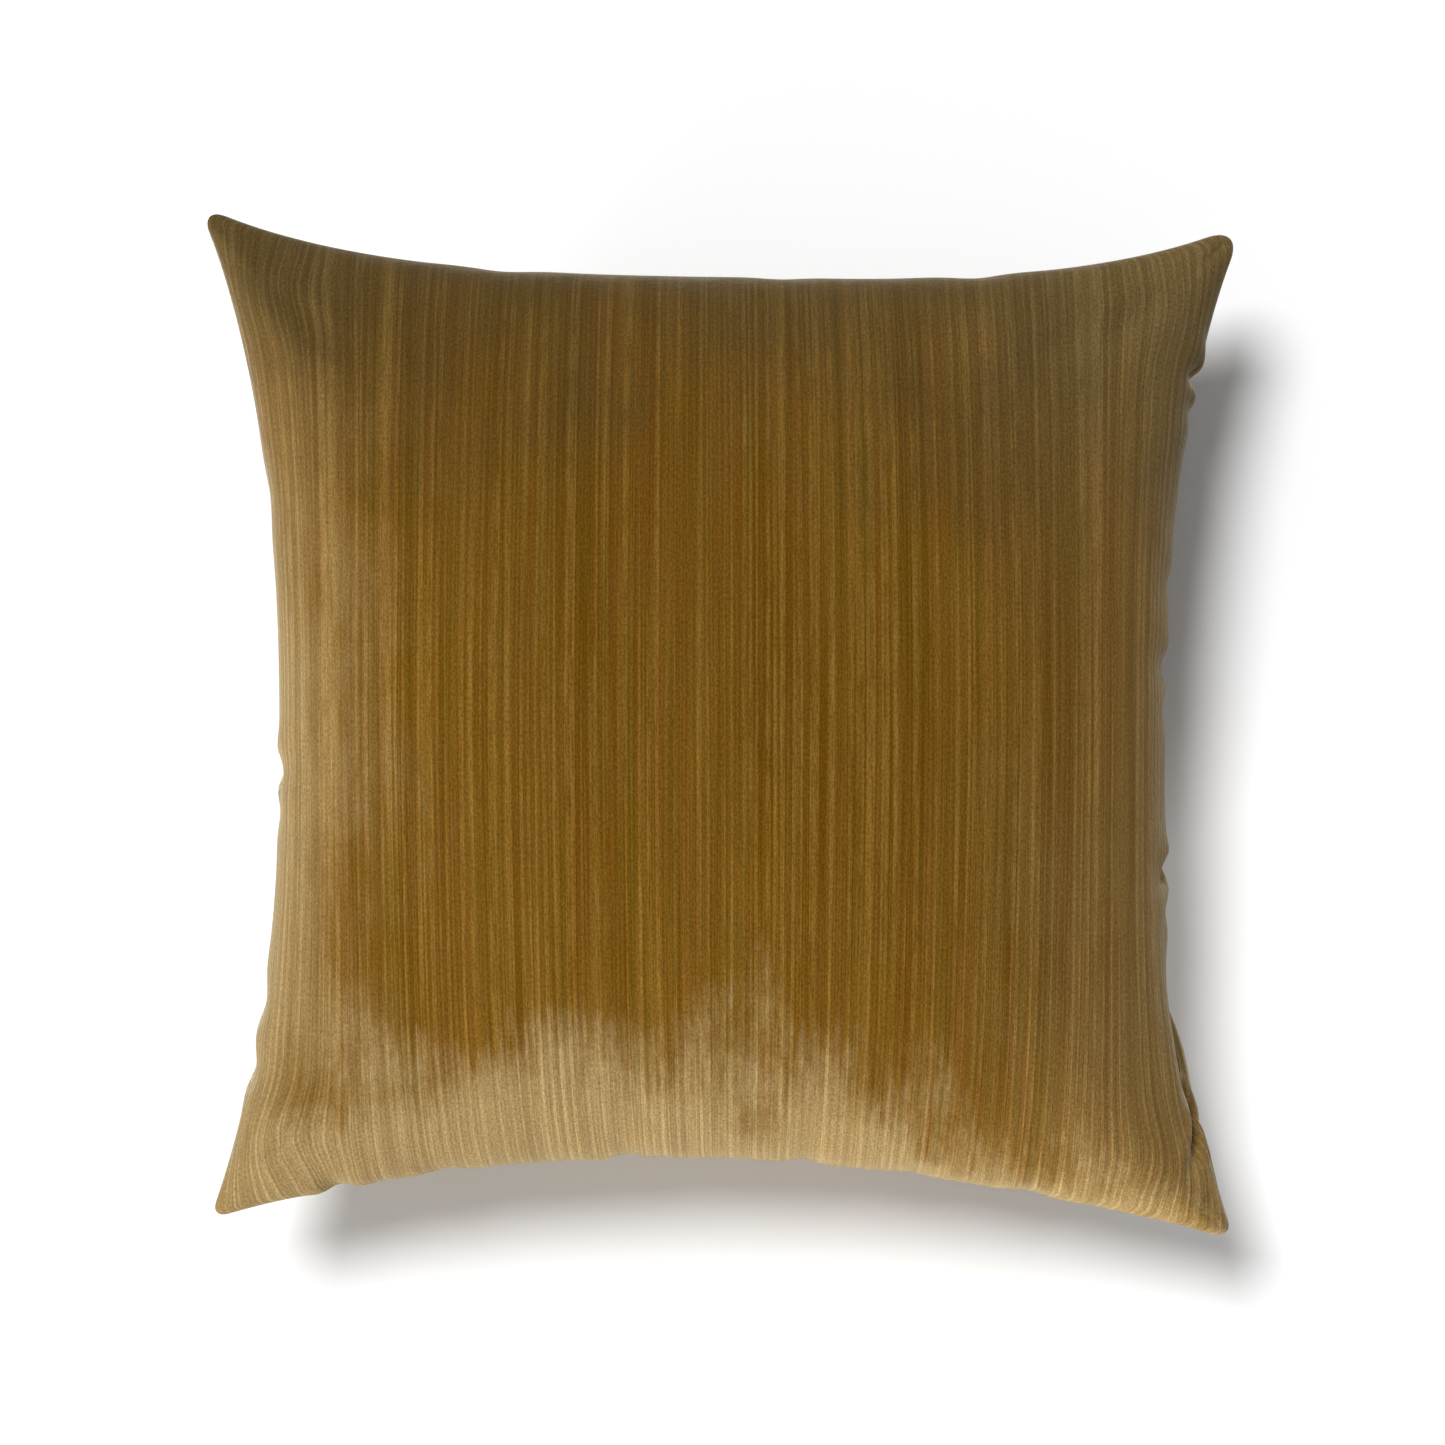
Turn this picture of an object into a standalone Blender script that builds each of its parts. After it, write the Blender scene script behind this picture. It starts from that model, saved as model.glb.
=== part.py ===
"""A square throw pillow: a velvet cover sewn with a knife edge, closed by a concealed zip in its
bottom seam, over a separate insert. It lies on its back panel. +Z is up and +Y is towards the top
edge. The origin is on the surface it rests on, under the middle of its outline. Metres.

The cover is drawn from one map. u and v run from -1 to 1 across the panel, left to right and bottom
to top, and "inboard" moves the outline in from the knife edge.
"""

import math

import bmesh
import bpy
from mathutils import Matrix, Vector

# Cover outline, ear tip to ear tip
HALF_WIDTH = 0.2445
HALF_DEPTH = 0.2395
EAR_TAPER = 0.0018  # the top ears stand this much wider than the middle, the bottom ears narrower
RIGHT_DROP = 0.0045  # the right ears sit lower than the left ones
INSET_LEFT = 0.0345  # how far the middle of each edge pulls in between its ears
INSET_RIGHT = 0.0340
INSET_TOP = 0.0275
INSET_BOTTOM = 0.0335
EDGE_BOW = 2.4  # power of the side and top curves
ZIP_BOW = 2  # power of the bottom curve: close to the arc that the zip bends to
EAR_ROUND = 0.0016  # how far the ear's point is rounded off
EAR_SHARPNESS = 120  # how close to the point the rounding stays

# Stuffed height
SEAM_HEIGHT = 0.086  # the seam's plane above the surface it rests on
CROWN = 0.092  # the front panel's middle above the seam's plane
CROWN_POWER = 0.5  # 0.5 gives an elliptical section
FLATTENING = 1.25  # how much deeper the back would be if nothing pressed it flat
KNEE = 0.12  # how gradually it turns from free to flat, as a share of that depth
PRESSED = 0.08  # what lies inside settles on the flat over this share

# Cover cloth and seams
VELVET = 0.0012
SEAM_ALLOWANCE = 0.0120
FOLD_REACH = 0.0018  # inner corner of the folded edge, inboard of the knife edge
GAP = 0.0003  # between pieces that touch
THREAD_RADIUS = 0.00025
STITCH_INBOARD = 0.0032
OVERLOCK_RADIUS = 0.0006

# Zip, measured from the knife edge inwards and from the seam's plane upwards
ZIP_HALF = 0.185  # half the tapes' length
CHAIN_HALF = 0.177  # half the coils' length
LIP_GAP = 0.0046  # each lip's distance from the seam's plane beside the zip
LIP_MARGIN = 0.002  # the lips stay open this far past the tapes, also at their raw edges
LIP_RAMP = 0.016  # then close over this length
RAMP_CLEAR = 0.6  # the cover's other steps keep this share of that length away from its ends
TAPE = 0.0005
TAPE_INBOARD = 0.0068  # the tape's upright, behind the coils
TAPE_WIDTH = 0.0110  # the tape's flat leg, sewn to the allowance
TAPE_STITCH = 0.0100  # the stitching on that leg, inboard of the knife edge
COIL_WIDTH = 0.0020
COIL_DEPTH = 0.0018
COIL_BEVEL = 0.0006
POST_HALF = 0.00045  # the slider's post runs in the slot between the coils
RUNNING = 0.0003  # clearance of everything that slides or turns
PLATE = 0.0010
FLANGE = 0.0007
FLANGE_REACH = 0.8  # share of the coils' depth that the flanges cover
SLIDER_LENGTH = 0.0120
POST_LENGTH = 0.0036
STOP_LENGTH = 0.0030
BAIL_RADIUS = 0.0005
EYE_WALL = 0.0006
PULL_LENGTH = 0.0240
PULL_HALF_WIDTH = 0.0024
PULL_THICKNESS = 0.0009
PULL_EYE = 0.5  # the eye's height as a share of the tab's width
PULL_SHOULDER = 0.8  # the tab's width just past the eye, as a share of its full width
PULL_OUTLINE = ((0.75, 1.0), (0.93, 0.85), (1.0, 0.4))  # its end: shares of length and width

# Insert
CASING = 0.0005
CASING_ALLOWANCE = 0.0080
CASING_FOLD = 0.0009
INSERT_CLEARANCE = 0.0020  # between the casing and the cover, except where it rests
CASING_STITCH = 0.0024
CLOSING_HALF = 0.070  # half the hand opening the insert is filled through
FILLING_CLEARANCE = 0.0020
SOFT_SQUARE = 8  # how close to its edge a soft body's two halves come together

# Smoothness
COVER_STEPS = 20
INSERT_STEPS = 14
ZIP_STEP = 0.0160
ROUND_STEPS = 14
HALVINGS = 40  # when a share is searched for

VELVET_GOLD = (0.235, 0.125, 0.022, 1.0)
THREAD_GOLD = (0.20, 0.12, 0.035, 1.0)
TAPE_BROWN = (0.13, 0.075, 0.025, 1.0)
COIL_BROWN = (0.16, 0.095, 0.03, 1.0)
BRASS = (0.55, 0.40, 0.17, 1.0)
CALICO = (0.74, 0.72, 0.67, 1.0)
FIBRE = (0.86, 0.86, 0.84, 1.0)


# --- Scene, materials and the two ways a mesh is made -------------------------------------------

def clear_scene():
    for obj in list(bpy.data.objects):
        bpy.data.objects.remove(obj, do_unlink=True)


def finish(name, colour, roughness, metallic=0.0):
    material = bpy.data.materials.new(name)
    material.use_nodes = True
    shader = material.node_tree.nodes["Principled BSDF"]
    shader.inputs["Base Color"].default_value = colour
    shader.inputs["Roughness"].default_value = roughness
    shader.inputs["Metallic"].default_value = metallic
    return material


def add_object(name, mesh_builder, material):
    """Makes the node, with its faces outwards."""
    bmesh.ops.recalc_face_normals(mesh_builder, faces=mesh_builder.faces)
    if mesh_builder.calc_volume(signed=True) < 0:
        bmesh.ops.reverse_faces(mesh_builder, faces=mesh_builder.faces)
    mesh = bpy.data.meshes.new(name)
    mesh_builder.to_mesh(mesh)
    mesh_builder.free()
    mesh.shade_smooth()
    mesh.set_sharp_from_angle(angle=math.radians(50))
    mesh.materials.append(material)
    obj = bpy.data.objects.new(name, mesh)
    bpy.context.collection.objects.link(obj)
    return obj


def pivot_at(obj, point):
    """Puts the object's origin on its joint's axis and leaves its shape where it is."""
    obj.data.transform(Matrix.Translation(-point))
    obj.location = point


def sweep(sections, closed=False):
    """A bmesh tube through rings of points, capped at both ends unless it closes on itself."""
    bm = bmesh.new()
    rings = [[bm.verts.new(point) for point in section] for section in sections]
    count = len(rings[0])
    pairs = list(zip(rings, rings[1:])) + ([(rings[-1], rings[0])] if closed else [])
    for first, second in pairs:
        for i in range(count):
            j = (i + 1) % count
            bm.faces.new((first[i], first[j], second[j], second[i]))
    if not closed:
        bm.faces.new(rings[0])
        bm.faces.new(rings[-1])
    return bm


# --- The cover's shape --------------------------------------------------------------------------

def plan(u, v, inboard=0.0):
    """Where panel point (u, v) lies in plan, with the outline moved inboard."""
    side = (INSET_RIGHT if u > 0 else INSET_LEFT) * (1 - abs(v) ** EDGE_BOW)
    bow = EDGE_BOW if v > 0 else ZIP_BOW
    end = (INSET_TOP if v > 0 else INSET_BOTTOM) * (1 - abs(u) ** bow)
    tip = EAR_ROUND * (abs(u) * abs(v)) ** EAR_SHARPNESS
    x = u * (HALF_WIDTH + EAR_TAPER * v - inboard - side * u * u - tip)
    y = v * (HALF_DEPTH - inboard - end * v * v - tip) - RIGHT_DROP * u
    return x, y


def edge_scale():
    """Half the bottom edge's length: x = u * this along it."""
    return HALF_WIDTH - EAR_TAPER


def lips_open():
    """Half the length over which the lips stand open, along the knife edge."""
    return ZIP_HALF + LIP_MARGIN + SEAM_ALLOWANCE


def lip(u, v):
    """How far the folded edge stands off the seam's plane: half a gap, and wide beside the zip."""
    if v > -1:
        return GAP / 2
    past = abs(u) * edge_scale() - lips_open()
    shut = min(1.0, max(0.0, past / LIP_RAMP))
    return LIP_GAP + (GAP / 2 - LIP_GAP) * shut


def rise(u, v):
    """Stuffed height above the folded edges, from 0 at the knife edge to 1 in the middle."""
    return (max(0.0, 1 - u * u) * max(0.0, 1 - v * v)) ** CROWN_POWER


def pressed_depth(u, v):
    """The back panel's share of the depth down to the surface, with a soft knee into the flat."""
    free = FLATTENING * rise(u, v)
    if free < 1 - KNEE:
        return free
    if free > 1 + KNEE:
        return 1.0
    return free - (free - 1 + KNEE) ** 2 / (4 * KNEE)


def settled(u, v):
    """0 where the back is free or turning, 1 well inside its flat patch."""
    return min(1.0, max(0.0, (FLATTENING * rise(u, v) - 1 - KNEE) / PRESSED))


def rim():
    """Height just inside the knife edge: the folded allowance, its thread and the wall over them."""
    return GAP / 2 + 2 * VELVET + 2 * GAP + 4 * THREAD_RADIUS


def panel_point(side, u, v):
    """Outer face of the front (side 1) or back (side -1) panel."""
    x, y = plan(u, v)
    if max(abs(u), abs(v)) > 1 - 1e-9:
        return Vector((x, y, SEAM_HEIGHT + side * lip(u, v)))
    if side > 0:
        return Vector((x, y, SEAM_HEIGHT + rim() + CROWN * rise(u, v)))
    return Vector((x, y, (SEAM_HEIGHT - rim()) * (1 - pressed_depth(u, v))))


def panel_inside(side, u, v, depth):
    """The point a given depth inside the panel's outer face, square to it."""
    step = 1e-4
    along = panel_point(side, u + step, v) - panel_point(side, u - step, v)
    up = panel_point(side, u, v + step) - panel_point(side, u, v - step)
    normal = along.cross(up).normalized() * side
    return panel_point(side, u, v) - normal * depth


def even(count):
    """Steps from -1 to 1 that close up towards both ends."""
    return [math.sin(math.pi / 2 * (2 * i / count - 1)) for i in range(count + 1)]


def cover_columns():
    """The cover's steps across, with a line where the lips beside the zip start and end closing."""
    opened = lips_open() / edge_scale()
    shut = (lips_open() + LIP_RAMP) / edge_scale()
    lines = [-shut, -opened, opened, shut]
    near = RAMP_CLEAR * LIP_RAMP / edge_scale()
    kept = [u for u in even(COVER_STEPS) if all(abs(u - line) > near for line in lines)]
    return sorted(kept + lines)


def perimeter(columns, rows):
    """The outline's (u, v), anticlockwise from the bottom left ear."""
    bottom = [(u, -1.0) for u in columns[:-1]]
    right = [(1.0, v) for v in rows[:-1]]
    top = [(u, 1.0) for u in reversed(columns[1:])]
    left = [(-1.0, v) for v in reversed(rows[1:])]
    return bottom + right + top + left


def sewn_shell(outer, columns, rows, edge_rings, wall):
    """One sewn panel: its outer face, its inner face a wall in, and the allowance folded inwards.
    edge_rings gives three points for each place on the outline: the allowance's raw edge on its
    outer and inner sides, and the inner corner of the fold."""
    bm = bmesh.new()
    face = [[bm.verts.new(outer(u, v)) for u in columns] for v in rows]
    quads = []
    for j in range(len(rows) - 1):
        for i in range(len(columns) - 1):
            corners = (face[j][i], face[j][i + 1], face[j + 1][i + 1], face[j + 1][i])
            quads.append(bm.faces.new(corners))
    bm.normal_update()
    up = 1 if face[len(rows) // 2][len(columns) // 2].normal.z > 0 else -1
    outwards = up * (1 if outer(0, 0).z > outer(1, 1).z else -1)
    around = perimeter(columns, rows)
    index = {(u, v): (j, i) for j, v in enumerate(rows) for i, u in enumerate(columns)}
    rings = {place: [bm.verts.new(point) for point in edge_rings(*place)] for place in around}
    inner = []
    for j, v in enumerate(rows):
        line = []
        for i, u in enumerate(columns):
            if (u, v) in rings:
                line.append(rings[(u, v)][2])
            else:
                outside = face[j][i]
                line.append(bm.verts.new(outside.co - outside.normal * outwards * wall))
        inner.append(line)
    for j in range(len(rows) - 1):
        for i in range(len(columns) - 1):
            bm.faces.new((inner[j][i], inner[j + 1][i], inner[j + 1][i + 1], inner[j][i + 1]))
    for place, following in zip(around, around[1:] + around[:1]):
        j, i = index[place]
        row, column = index[following]
        chain = [face[j][i]] + rings[place]
        onward = [face[row][column]] + rings[following]
        for a in range(3):
            bm.faces.new((chain[a], chain[a + 1], onward[a + 1], onward[a]))
    return bm


def cover_edge(side):
    def rings(u, v):
        low = lip(u, v)
        raw = plan(u, v, SEAM_ALLOWANCE)
        fold = plan(u, v, FOLD_REACH)
        return [
            Vector((*raw, SEAM_HEIGHT + side * low)),
            Vector((*raw, SEAM_HEIGHT + side * (low + VELVET))),
            Vector((*fold, SEAM_HEIGHT + side * (low + VELVET))),
        ]
    return rings


def build_panels(material):
    for name, side in (("front_panel", 1), ("back_panel", -1)):
        bm = sewn_shell(
            lambda u, v: panel_point(side, u, v), cover_columns(), even(COVER_STEPS),
            cover_edge(side), VELVET,
        )
        add_object(name, bm, material)


# --- Cover threads ------------------------------------------------------------------------------

def along_edge(places, side, inboard, height, radius):
    """Diamond sections of a thread that follows the outline, above or below the allowance."""
    sections = []
    for u, v in places:
        level = SEAM_HEIGHT + side * (lip(u, v) + height)
        sections.append([
            Vector((*plan(u, v, inboard - radius), level)),
            Vector((*plan(u, v, inboard), level + radius)),
            Vector((*plan(u, v, inboard + radius), level)),
            Vector((*plan(u, v, inboard), level - radius)),
        ])
    return sections


def sewn_places():
    """The outline from one end of the zip opening round to the other."""
    places = perimeter(cover_columns(), even(COVER_STEPS))
    shut = (lips_open() + LIP_RAMP) / edge_scale() - 1e-9
    start = next(i for i, (u, v) in enumerate(places) if v == -1.0 and u >= shut)
    stop = next(i for i, (u, v) in enumerate(places) if v == -1.0 and u > -shut)
    return places[start:] + places[:stop]


def build_cover_threads(material):
    on_allowance = VELVET + GAP + THREAD_RADIUS
    for name, side in (("seam_needle_thread", 1), ("seam_bobbin_thread", -1)):
        sections = along_edge(sewn_places(), side, STITCH_INBOARD, on_allowance, THREAD_RADIUS)
        add_object(name, sweep(sections), material)
    beside_raw_edge = SEAM_ALLOWANCE + GAP + OVERLOCK_RADIUS
    all_round = perimeter(cover_columns(), even(COVER_STEPS))
    for name, side in (("overlock_thread_front", 1), ("overlock_thread_back", -1)):
        sections = along_edge(all_round, side, beside_raw_edge, VELVET / 2, OVERLOCK_RADIUS)
        add_object(name, sweep(sections, closed=True), material)


# --- Zip ----------------------------------------------------------------------------------------

def zip_arc():
    """The circle that the bottom edge bends the zip to: its centre and its radius."""
    scale = edge_scale()
    centre_x = -RIGHT_DROP * scale / (2 * INSET_BOTTOM)
    lowest = -(HALF_DEPTH - INSET_BOTTOM) + RIGHT_DROP ** 2 / (4 * INSET_BOTTOM)
    radius = scale ** 2 / (2 * INSET_BOTTOM)
    return Vector((centre_x, lowest - radius, SEAM_HEIGHT)), radius


def arc_angle(x):
    centre, radius = zip_arc()
    return math.asin((x - centre.x) / radius)


def on_arc(angle, inboard, height):
    centre, radius = zip_arc()
    reach = radius + inboard
    return centre + Vector((reach * math.sin(angle), reach * math.cos(angle), height))


def arc_angles(first, last):
    count = max(1, math.ceil((last - first) * zip_arc()[1] / ZIP_STEP))
    return [first + (last - first) * i / count for i in range(count + 1)]


def run(profile, first, last, side=1):
    """A strip of constant (inboard, height) section along the zip's arc."""
    return sweep([
        [on_arc(angle, inboard, side * height) for inboard, height in profile]
        for angle in arc_angles(first, last)
    ])


def rectangle(inboard, height, depth, tall):
    return [
        (inboard, height), (inboard + depth, height),
        (inboard + depth, height + tall), (inboard, height + tall),
    ]


def slot_half():
    return POST_HALF + RUNNING


def coil_front():
    """Where the coils' outer side lies, inboard of the knife edge."""
    return TAPE_INBOARD - GAP - COIL_DEPTH


def chain_ends():
    return arc_angle(-CHAIN_HALF), arc_angle(CHAIN_HALF)


def build_tapes(material):
    top = LIP_GAP - GAP
    back = TAPE_INBOARD + TAPE
    profile = [
        (TAPE_INBOARD, slot_half()), (back, slot_half()), (back, top - TAPE),
        (TAPE_INBOARD + TAPE_WIDTH, top - TAPE), (TAPE_INBOARD + TAPE_WIDTH, top),
        (TAPE_INBOARD, top),
    ]
    for name, side in (("zip_tape_front", 1), ("zip_tape_back", -1)):
        bm = run(profile, arc_angle(-ZIP_HALF), arc_angle(ZIP_HALF), side)
        add_object(name, bm, material)


def build_coils(material):
    near, far = coil_front(), coil_front() + COIL_DEPTH
    low, high = slot_half(), slot_half() + COIL_WIDTH
    profile = [
        (near, low + COIL_BEVEL), (near + COIL_BEVEL, low), (far, low),
        (far, high), (near + COIL_BEVEL, high), (near, high - COIL_BEVEL),
    ]
    for name, side in (("zip_coil_front", 1), ("zip_coil_back", -1)):
        add_object(name, run(profile, *chain_ends(), side), material)


def build_tape_stitching(material):
    level = LIP_GAP + VELVET + GAP + THREAD_RADIUS
    profile = [
        (TAPE_STITCH - THREAD_RADIUS, level), (TAPE_STITCH, level + THREAD_RADIUS),
        (TAPE_STITCH + THREAD_RADIUS, level), (TAPE_STITCH, level - THREAD_RADIUS),
    ]
    for name, side in (("zip_stitch_front", 1), ("zip_stitch_back", -1)):
        bm = run(profile, arc_angle(-ZIP_HALF), arc_angle(ZIP_HALF), side)
        add_object(name, bm, material)


def build_stops(material):
    radius = zip_arc()[1]
    first, last = chain_ends()
    gap, length = GAP / radius, STOP_LENGTH / radius
    tall = COIL_WIDTH + RUNNING
    clip = rectangle(coil_front(), slot_half(), COIL_DEPTH, tall)
    for name, side in (("zip_top_stop_front", 1), ("zip_top_stop_back", -1)):
        add_object(name, run(clip, last + gap, last + gap + length, side), material)
    across = rectangle(coil_front(), -slot_half() - tall, COIL_DEPTH, 2 * (slot_half() + tall))
    add_object("zip_bottom_stop", run(across, first - gap - length, first - gap), material)


def slider_level():
    """The outer plate's outer side, inboard of the knife edge."""
    return coil_front() - RUNNING - PLATE


def eye_radius():
    return BAIL_RADIUS + RUNNING + EYE_WALL


def bail_place():
    """The pull's pivot, inboard of the knife edge: its eye turns just outside the plate."""
    return slider_level() - RUNNING - eye_radius()


def slider_angle():
    """Where the slider stands when the zip is closed."""
    radius = zip_arc()[1]
    return chain_ends()[1] - (SLIDER_LENGTH / 2 + RUNNING) / radius


def block(profile, angle, length):
    """A straight piece of the given (inboard, height) section, centred at an angle on the arc."""
    half = length / 2 / zip_arc()[1]
    return sweep([[on_arc(a, d, h) for d, h in profile] for a in (angle - half, angle + half)])


def upright(radius, inner, low, high, angle, inboard):
    """A round bar, or a ring, about the pull's pivot, standing square to the zip's plane."""
    centre = on_arc(angle, inboard, 0)
    turns = [2 * math.pi * i / ROUND_STEPS for i in range(ROUND_STEPS)]

    def circle(size, height):
        return [centre + Vector((size * math.cos(t), size * math.sin(t), height)) for t in turns]

    if not inner:
        return sweep([circle(radius, low), circle(radius, high)])
    return sweep([
        [outer_low, outer_high, inner_high, inner_low]
        for outer_low, outer_high, inner_high, inner_low in zip(
            circle(radius, low), circle(radius, high), circle(inner, high), circle(inner, low))
    ], closed=True)


def unite(base, others):
    """Joins helper meshes to a base object and applies the joins."""
    for i, bm in enumerate(others):
        helper = add_object(f"{base.name}_helper_{i}", bm, base.data.materials[0])
        join = base.modifiers.new("join", "BOOLEAN")
        join.operation = "UNION"
        join.solver = "EXACT"
        join.object = helper
        bpy.context.view_layer.update()
        graph = bpy.context.evaluated_depsgraph_get()
        joined = bpy.data.meshes.new_from_object(base.evaluated_get(graph))
        base.modifiers.remove(join)
        base.data = joined
        base.data.name = base.name
        bpy.data.objects.remove(helper, do_unlink=True)


def slider_half_width():
    return slot_half() + COIL_WIDTH + RUNNING + FLANGE


def build_slider(material):
    """An outer plate with a flange each side of the coils, a plate behind the tapes, the post that
    joins them through the slot, and a bail for the pull."""
    angle = slider_angle()
    half = slider_half_width()
    wall = FLANGE
    front = slider_level()
    face = front + PLATE
    lip_end = face + RUNNING + FLANGE_REACH * COIL_DEPTH
    channel = [
        (front, -half), (front, half), (lip_end, half), (lip_end, half - wall),
        (face, half - wall), (face, wall - half), (lip_end, wall - half), (lip_end, -half),
    ]
    slider = add_object("zip_slider", block(channel, angle, SLIDER_LENGTH), material)
    behind = TAPE_INBOARD + TAPE + RUNNING
    bite = PLATE / 2
    back_plate = rectangle(behind, wall - half, PLATE, 2 * (half - wall))
    post = rectangle(front + bite, -POST_HALF, behind - front, 2 * POST_HALF)
    pieces = [block(back_plate, angle, SLIDER_LENGTH), block(post, angle, POST_LENGTH)]
    pivot = bail_place()
    lug_front = pivot - BAIL_RADIUS - EYE_WALL
    lug_low = PULL_HALF_WIDTH * PULL_EYE + RUNNING
    for low in (lug_low, -lug_low - PLATE):
        lug = rectangle(lug_front, low, front + bite - lug_front, PLATE)
        pieces.append(block(lug, angle, 2 * (BAIL_RADIUS + EYE_WALL)))
    reach = lug_low + PLATE / 2
    pieces.append(upright(BAIL_RADIUS, 0, -reach, reach, angle, pivot))
    unite(slider, pieces)
    pivot_at(slider, zip_arc()[0])


def build_pull(material):
    """A flat tab whose eye turns on the slider's bail; it lies along the closed chain."""
    pivot = bail_place()
    centre = on_arc(slider_angle(), pivot, 0)
    eye_inner = BAIL_RADIUS + RUNNING
    half_eye = PULL_HALF_WIDTH * PULL_EYE
    pull = add_object("zip_pull", upright(eye_radius(), eye_inner, -half_eye, half_eye,
                                          slider_angle(), pivot), material)
    turn = -slider_angle()
    along = Vector((-math.cos(turn), -math.sin(turn), 0))
    across = Vector((0, 0, 1))
    thick = along.cross(across).normalized() * (PULL_THICKNESS / 2)
    start = eye_inner + EYE_WALL / 3

    def section(distance, half_width):
        middle = centre + along * distance
        up = across * half_width
        return [middle - up - thick, middle + up - thick, middle + up + thick, middle - up + thick]

    shoulder = start + 2 * EYE_WALL
    tab = sweep([
        section(start, half_eye), section(shoulder, half_eye),
        section(shoulder + PULL_HALF_WIDTH, PULL_HALF_WIDTH * PULL_SHOULDER),
    ] + [
        section(PULL_LENGTH * length, PULL_HALF_WIDTH * width) for length, width in PULL_OUTLINE
    ])
    unite(pull, [tab])
    pivot_at(pull, centre)


# --- Insert -------------------------------------------------------------------------------------

def share_for(inboard):
    """The share of the cover's map that ends a given distance inboard of every edge's middle."""
    def reaches(share):
        left, _ = plan(-share, 0)
        _, top = plan(0, share)
        right, _ = plan(share, 0)
        _, bottom = plan(0, -share)
        ends = (plan(-1, 0)[0], plan(0, 1)[1], plan(1, 0)[0], plan(0, -1)[1])
        return min(left - ends[0], ends[1] - top, ends[2] - right, bottom - ends[3])

    low, high = 0.5, 1.0
    for _ in range(HALVINGS):
        middle = (low + high) / 2
        if reaches(middle) > inboard:
            low = middle
        else:
            high = middle
    return low


def casing_share():
    """The insert's seam stops short of the allowance, its overlocking and the zip's tapes."""
    overlocked = SEAM_ALLOWANCE + GAP + 2 * OVERLOCK_RADIUS
    taped = TAPE_INBOARD + TAPE_WIDTH
    return share_for(max(overlocked, taped) + INSERT_CLEARANCE)


def filling_share():
    return casing_share() * share_for(CASING_ALLOWANCE + FILLING_CLEARANCE)


def soft_point(side, share, s, t, depth, rest, edge):
    """A point of a soft body inside the cover: it follows the panel at a given depth, rests at
    another on the flat of the back, and comes together at its own edge."""
    inside = panel_inside(side, share * s, share * t, depth)
    if side < 0:
        inside.z -= (depth - rest) * settled(share * s, share * t)
    closing = math.sqrt(max(0.0, 1 - s ** SOFT_SQUARE) * max(0.0, 1 - t ** SOFT_SQUARE))
    if closing < 1e-6:
        closing = 0.0
    level = edge + (abs(inside.z - SEAM_HEIGHT) - edge) * closing
    x, y = plan(share * s, share * t)
    return Vector((
        x + (inside.x - x) * closing, y + (inside.y - y) * closing, SEAM_HEIGHT + side * level,
    ))


def build_casing(material):
    share = casing_share()
    depth = VELVET + INSERT_CLEARANCE
    steps = even(INSERT_STEPS)
    for name, side in (("insert_casing_front", 1), ("insert_casing_back", -1)):
        def outer(s, t):
            return soft_point(side, share, s, t, depth, VELVET + GAP, GAP / 2)

        def rings(s, t):
            raw = plan(share * s, share * t, CASING_ALLOWANCE)
            fold = plan(share * s, share * t, CASING_FOLD)
            low, high = GAP / 2, GAP / 2 + CASING
            return [
                Vector((*raw, SEAM_HEIGHT + side * low)),
                Vector((*raw, SEAM_HEIGHT + side * high)),
                Vector((*fold, SEAM_HEIGHT + side * high)),
            ]

        add_object(name, sewn_shell(outer, steps, steps, rings, CASING), material)


def build_insert_threads(material):
    """The casing's seam runs round from one end of the hand opening to the other, and a second
    run of stitches closes the opening once it is filled."""
    share = casing_share()
    places = perimeter(even(INSERT_STEPS), even(INSERT_STEPS))
    level = SEAM_HEIGHT + GAP / 2 + CASING + GAP + THREAD_RADIUS

    def opening_end(place):
        return place[1] == -1.0 and abs(place[0]) * share * HALF_WIDTH <= CLOSING_HALF

    def sections(chosen):
        return [[
            Vector((*plan(share * s, share * t, CASING_STITCH - THREAD_RADIUS), level)),
            Vector((*plan(share * s, share * t, CASING_STITCH), level + THREAD_RADIUS)),
            Vector((*plan(share * s, share * t, CASING_STITCH + THREAD_RADIUS), level)),
            Vector((*plan(share * s, share * t, CASING_STITCH), level - THREAD_RADIUS)),
        ] for s, t in chosen]

    closing = [place for place in places if opening_end(place)]
    after = places.index(closing[-1]) + 1
    before = places.index(closing[0])
    round_the_rest = places[after:] + places[:before]
    add_object("insert_seam_thread", sweep(sections(round_the_rest)), material)
    add_object("insert_closing_stitch", sweep(sections(closing)), material)


def build_filling(material):
    share = filling_share()
    depth = VELVET + INSERT_CLEARANCE + CASING + FILLING_CLEARANCE
    rest = VELVET + GAP + CASING + GAP
    steps = even(INSERT_STEPS)
    bm = bmesh.new()
    around = set(perimeter(steps, steps))
    edge = {place: bm.verts.new(soft_point(1, share, *place, depth, rest, 0.0)) for place in around}
    for side in (1, -1):
        grid = [[edge.get((s, t)) or bm.verts.new(soft_point(side, share, s, t, depth, rest, 0.0))
                 for s in steps] for t in steps]
        for j in range(INSERT_STEPS):
            for i in range(INSERT_STEPS):
                bm.faces.new((grid[j][i], grid[j][i + 1], grid[j + 1][i + 1], grid[j + 1][i]))
    add_object("insert_filling", bm, material)


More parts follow.
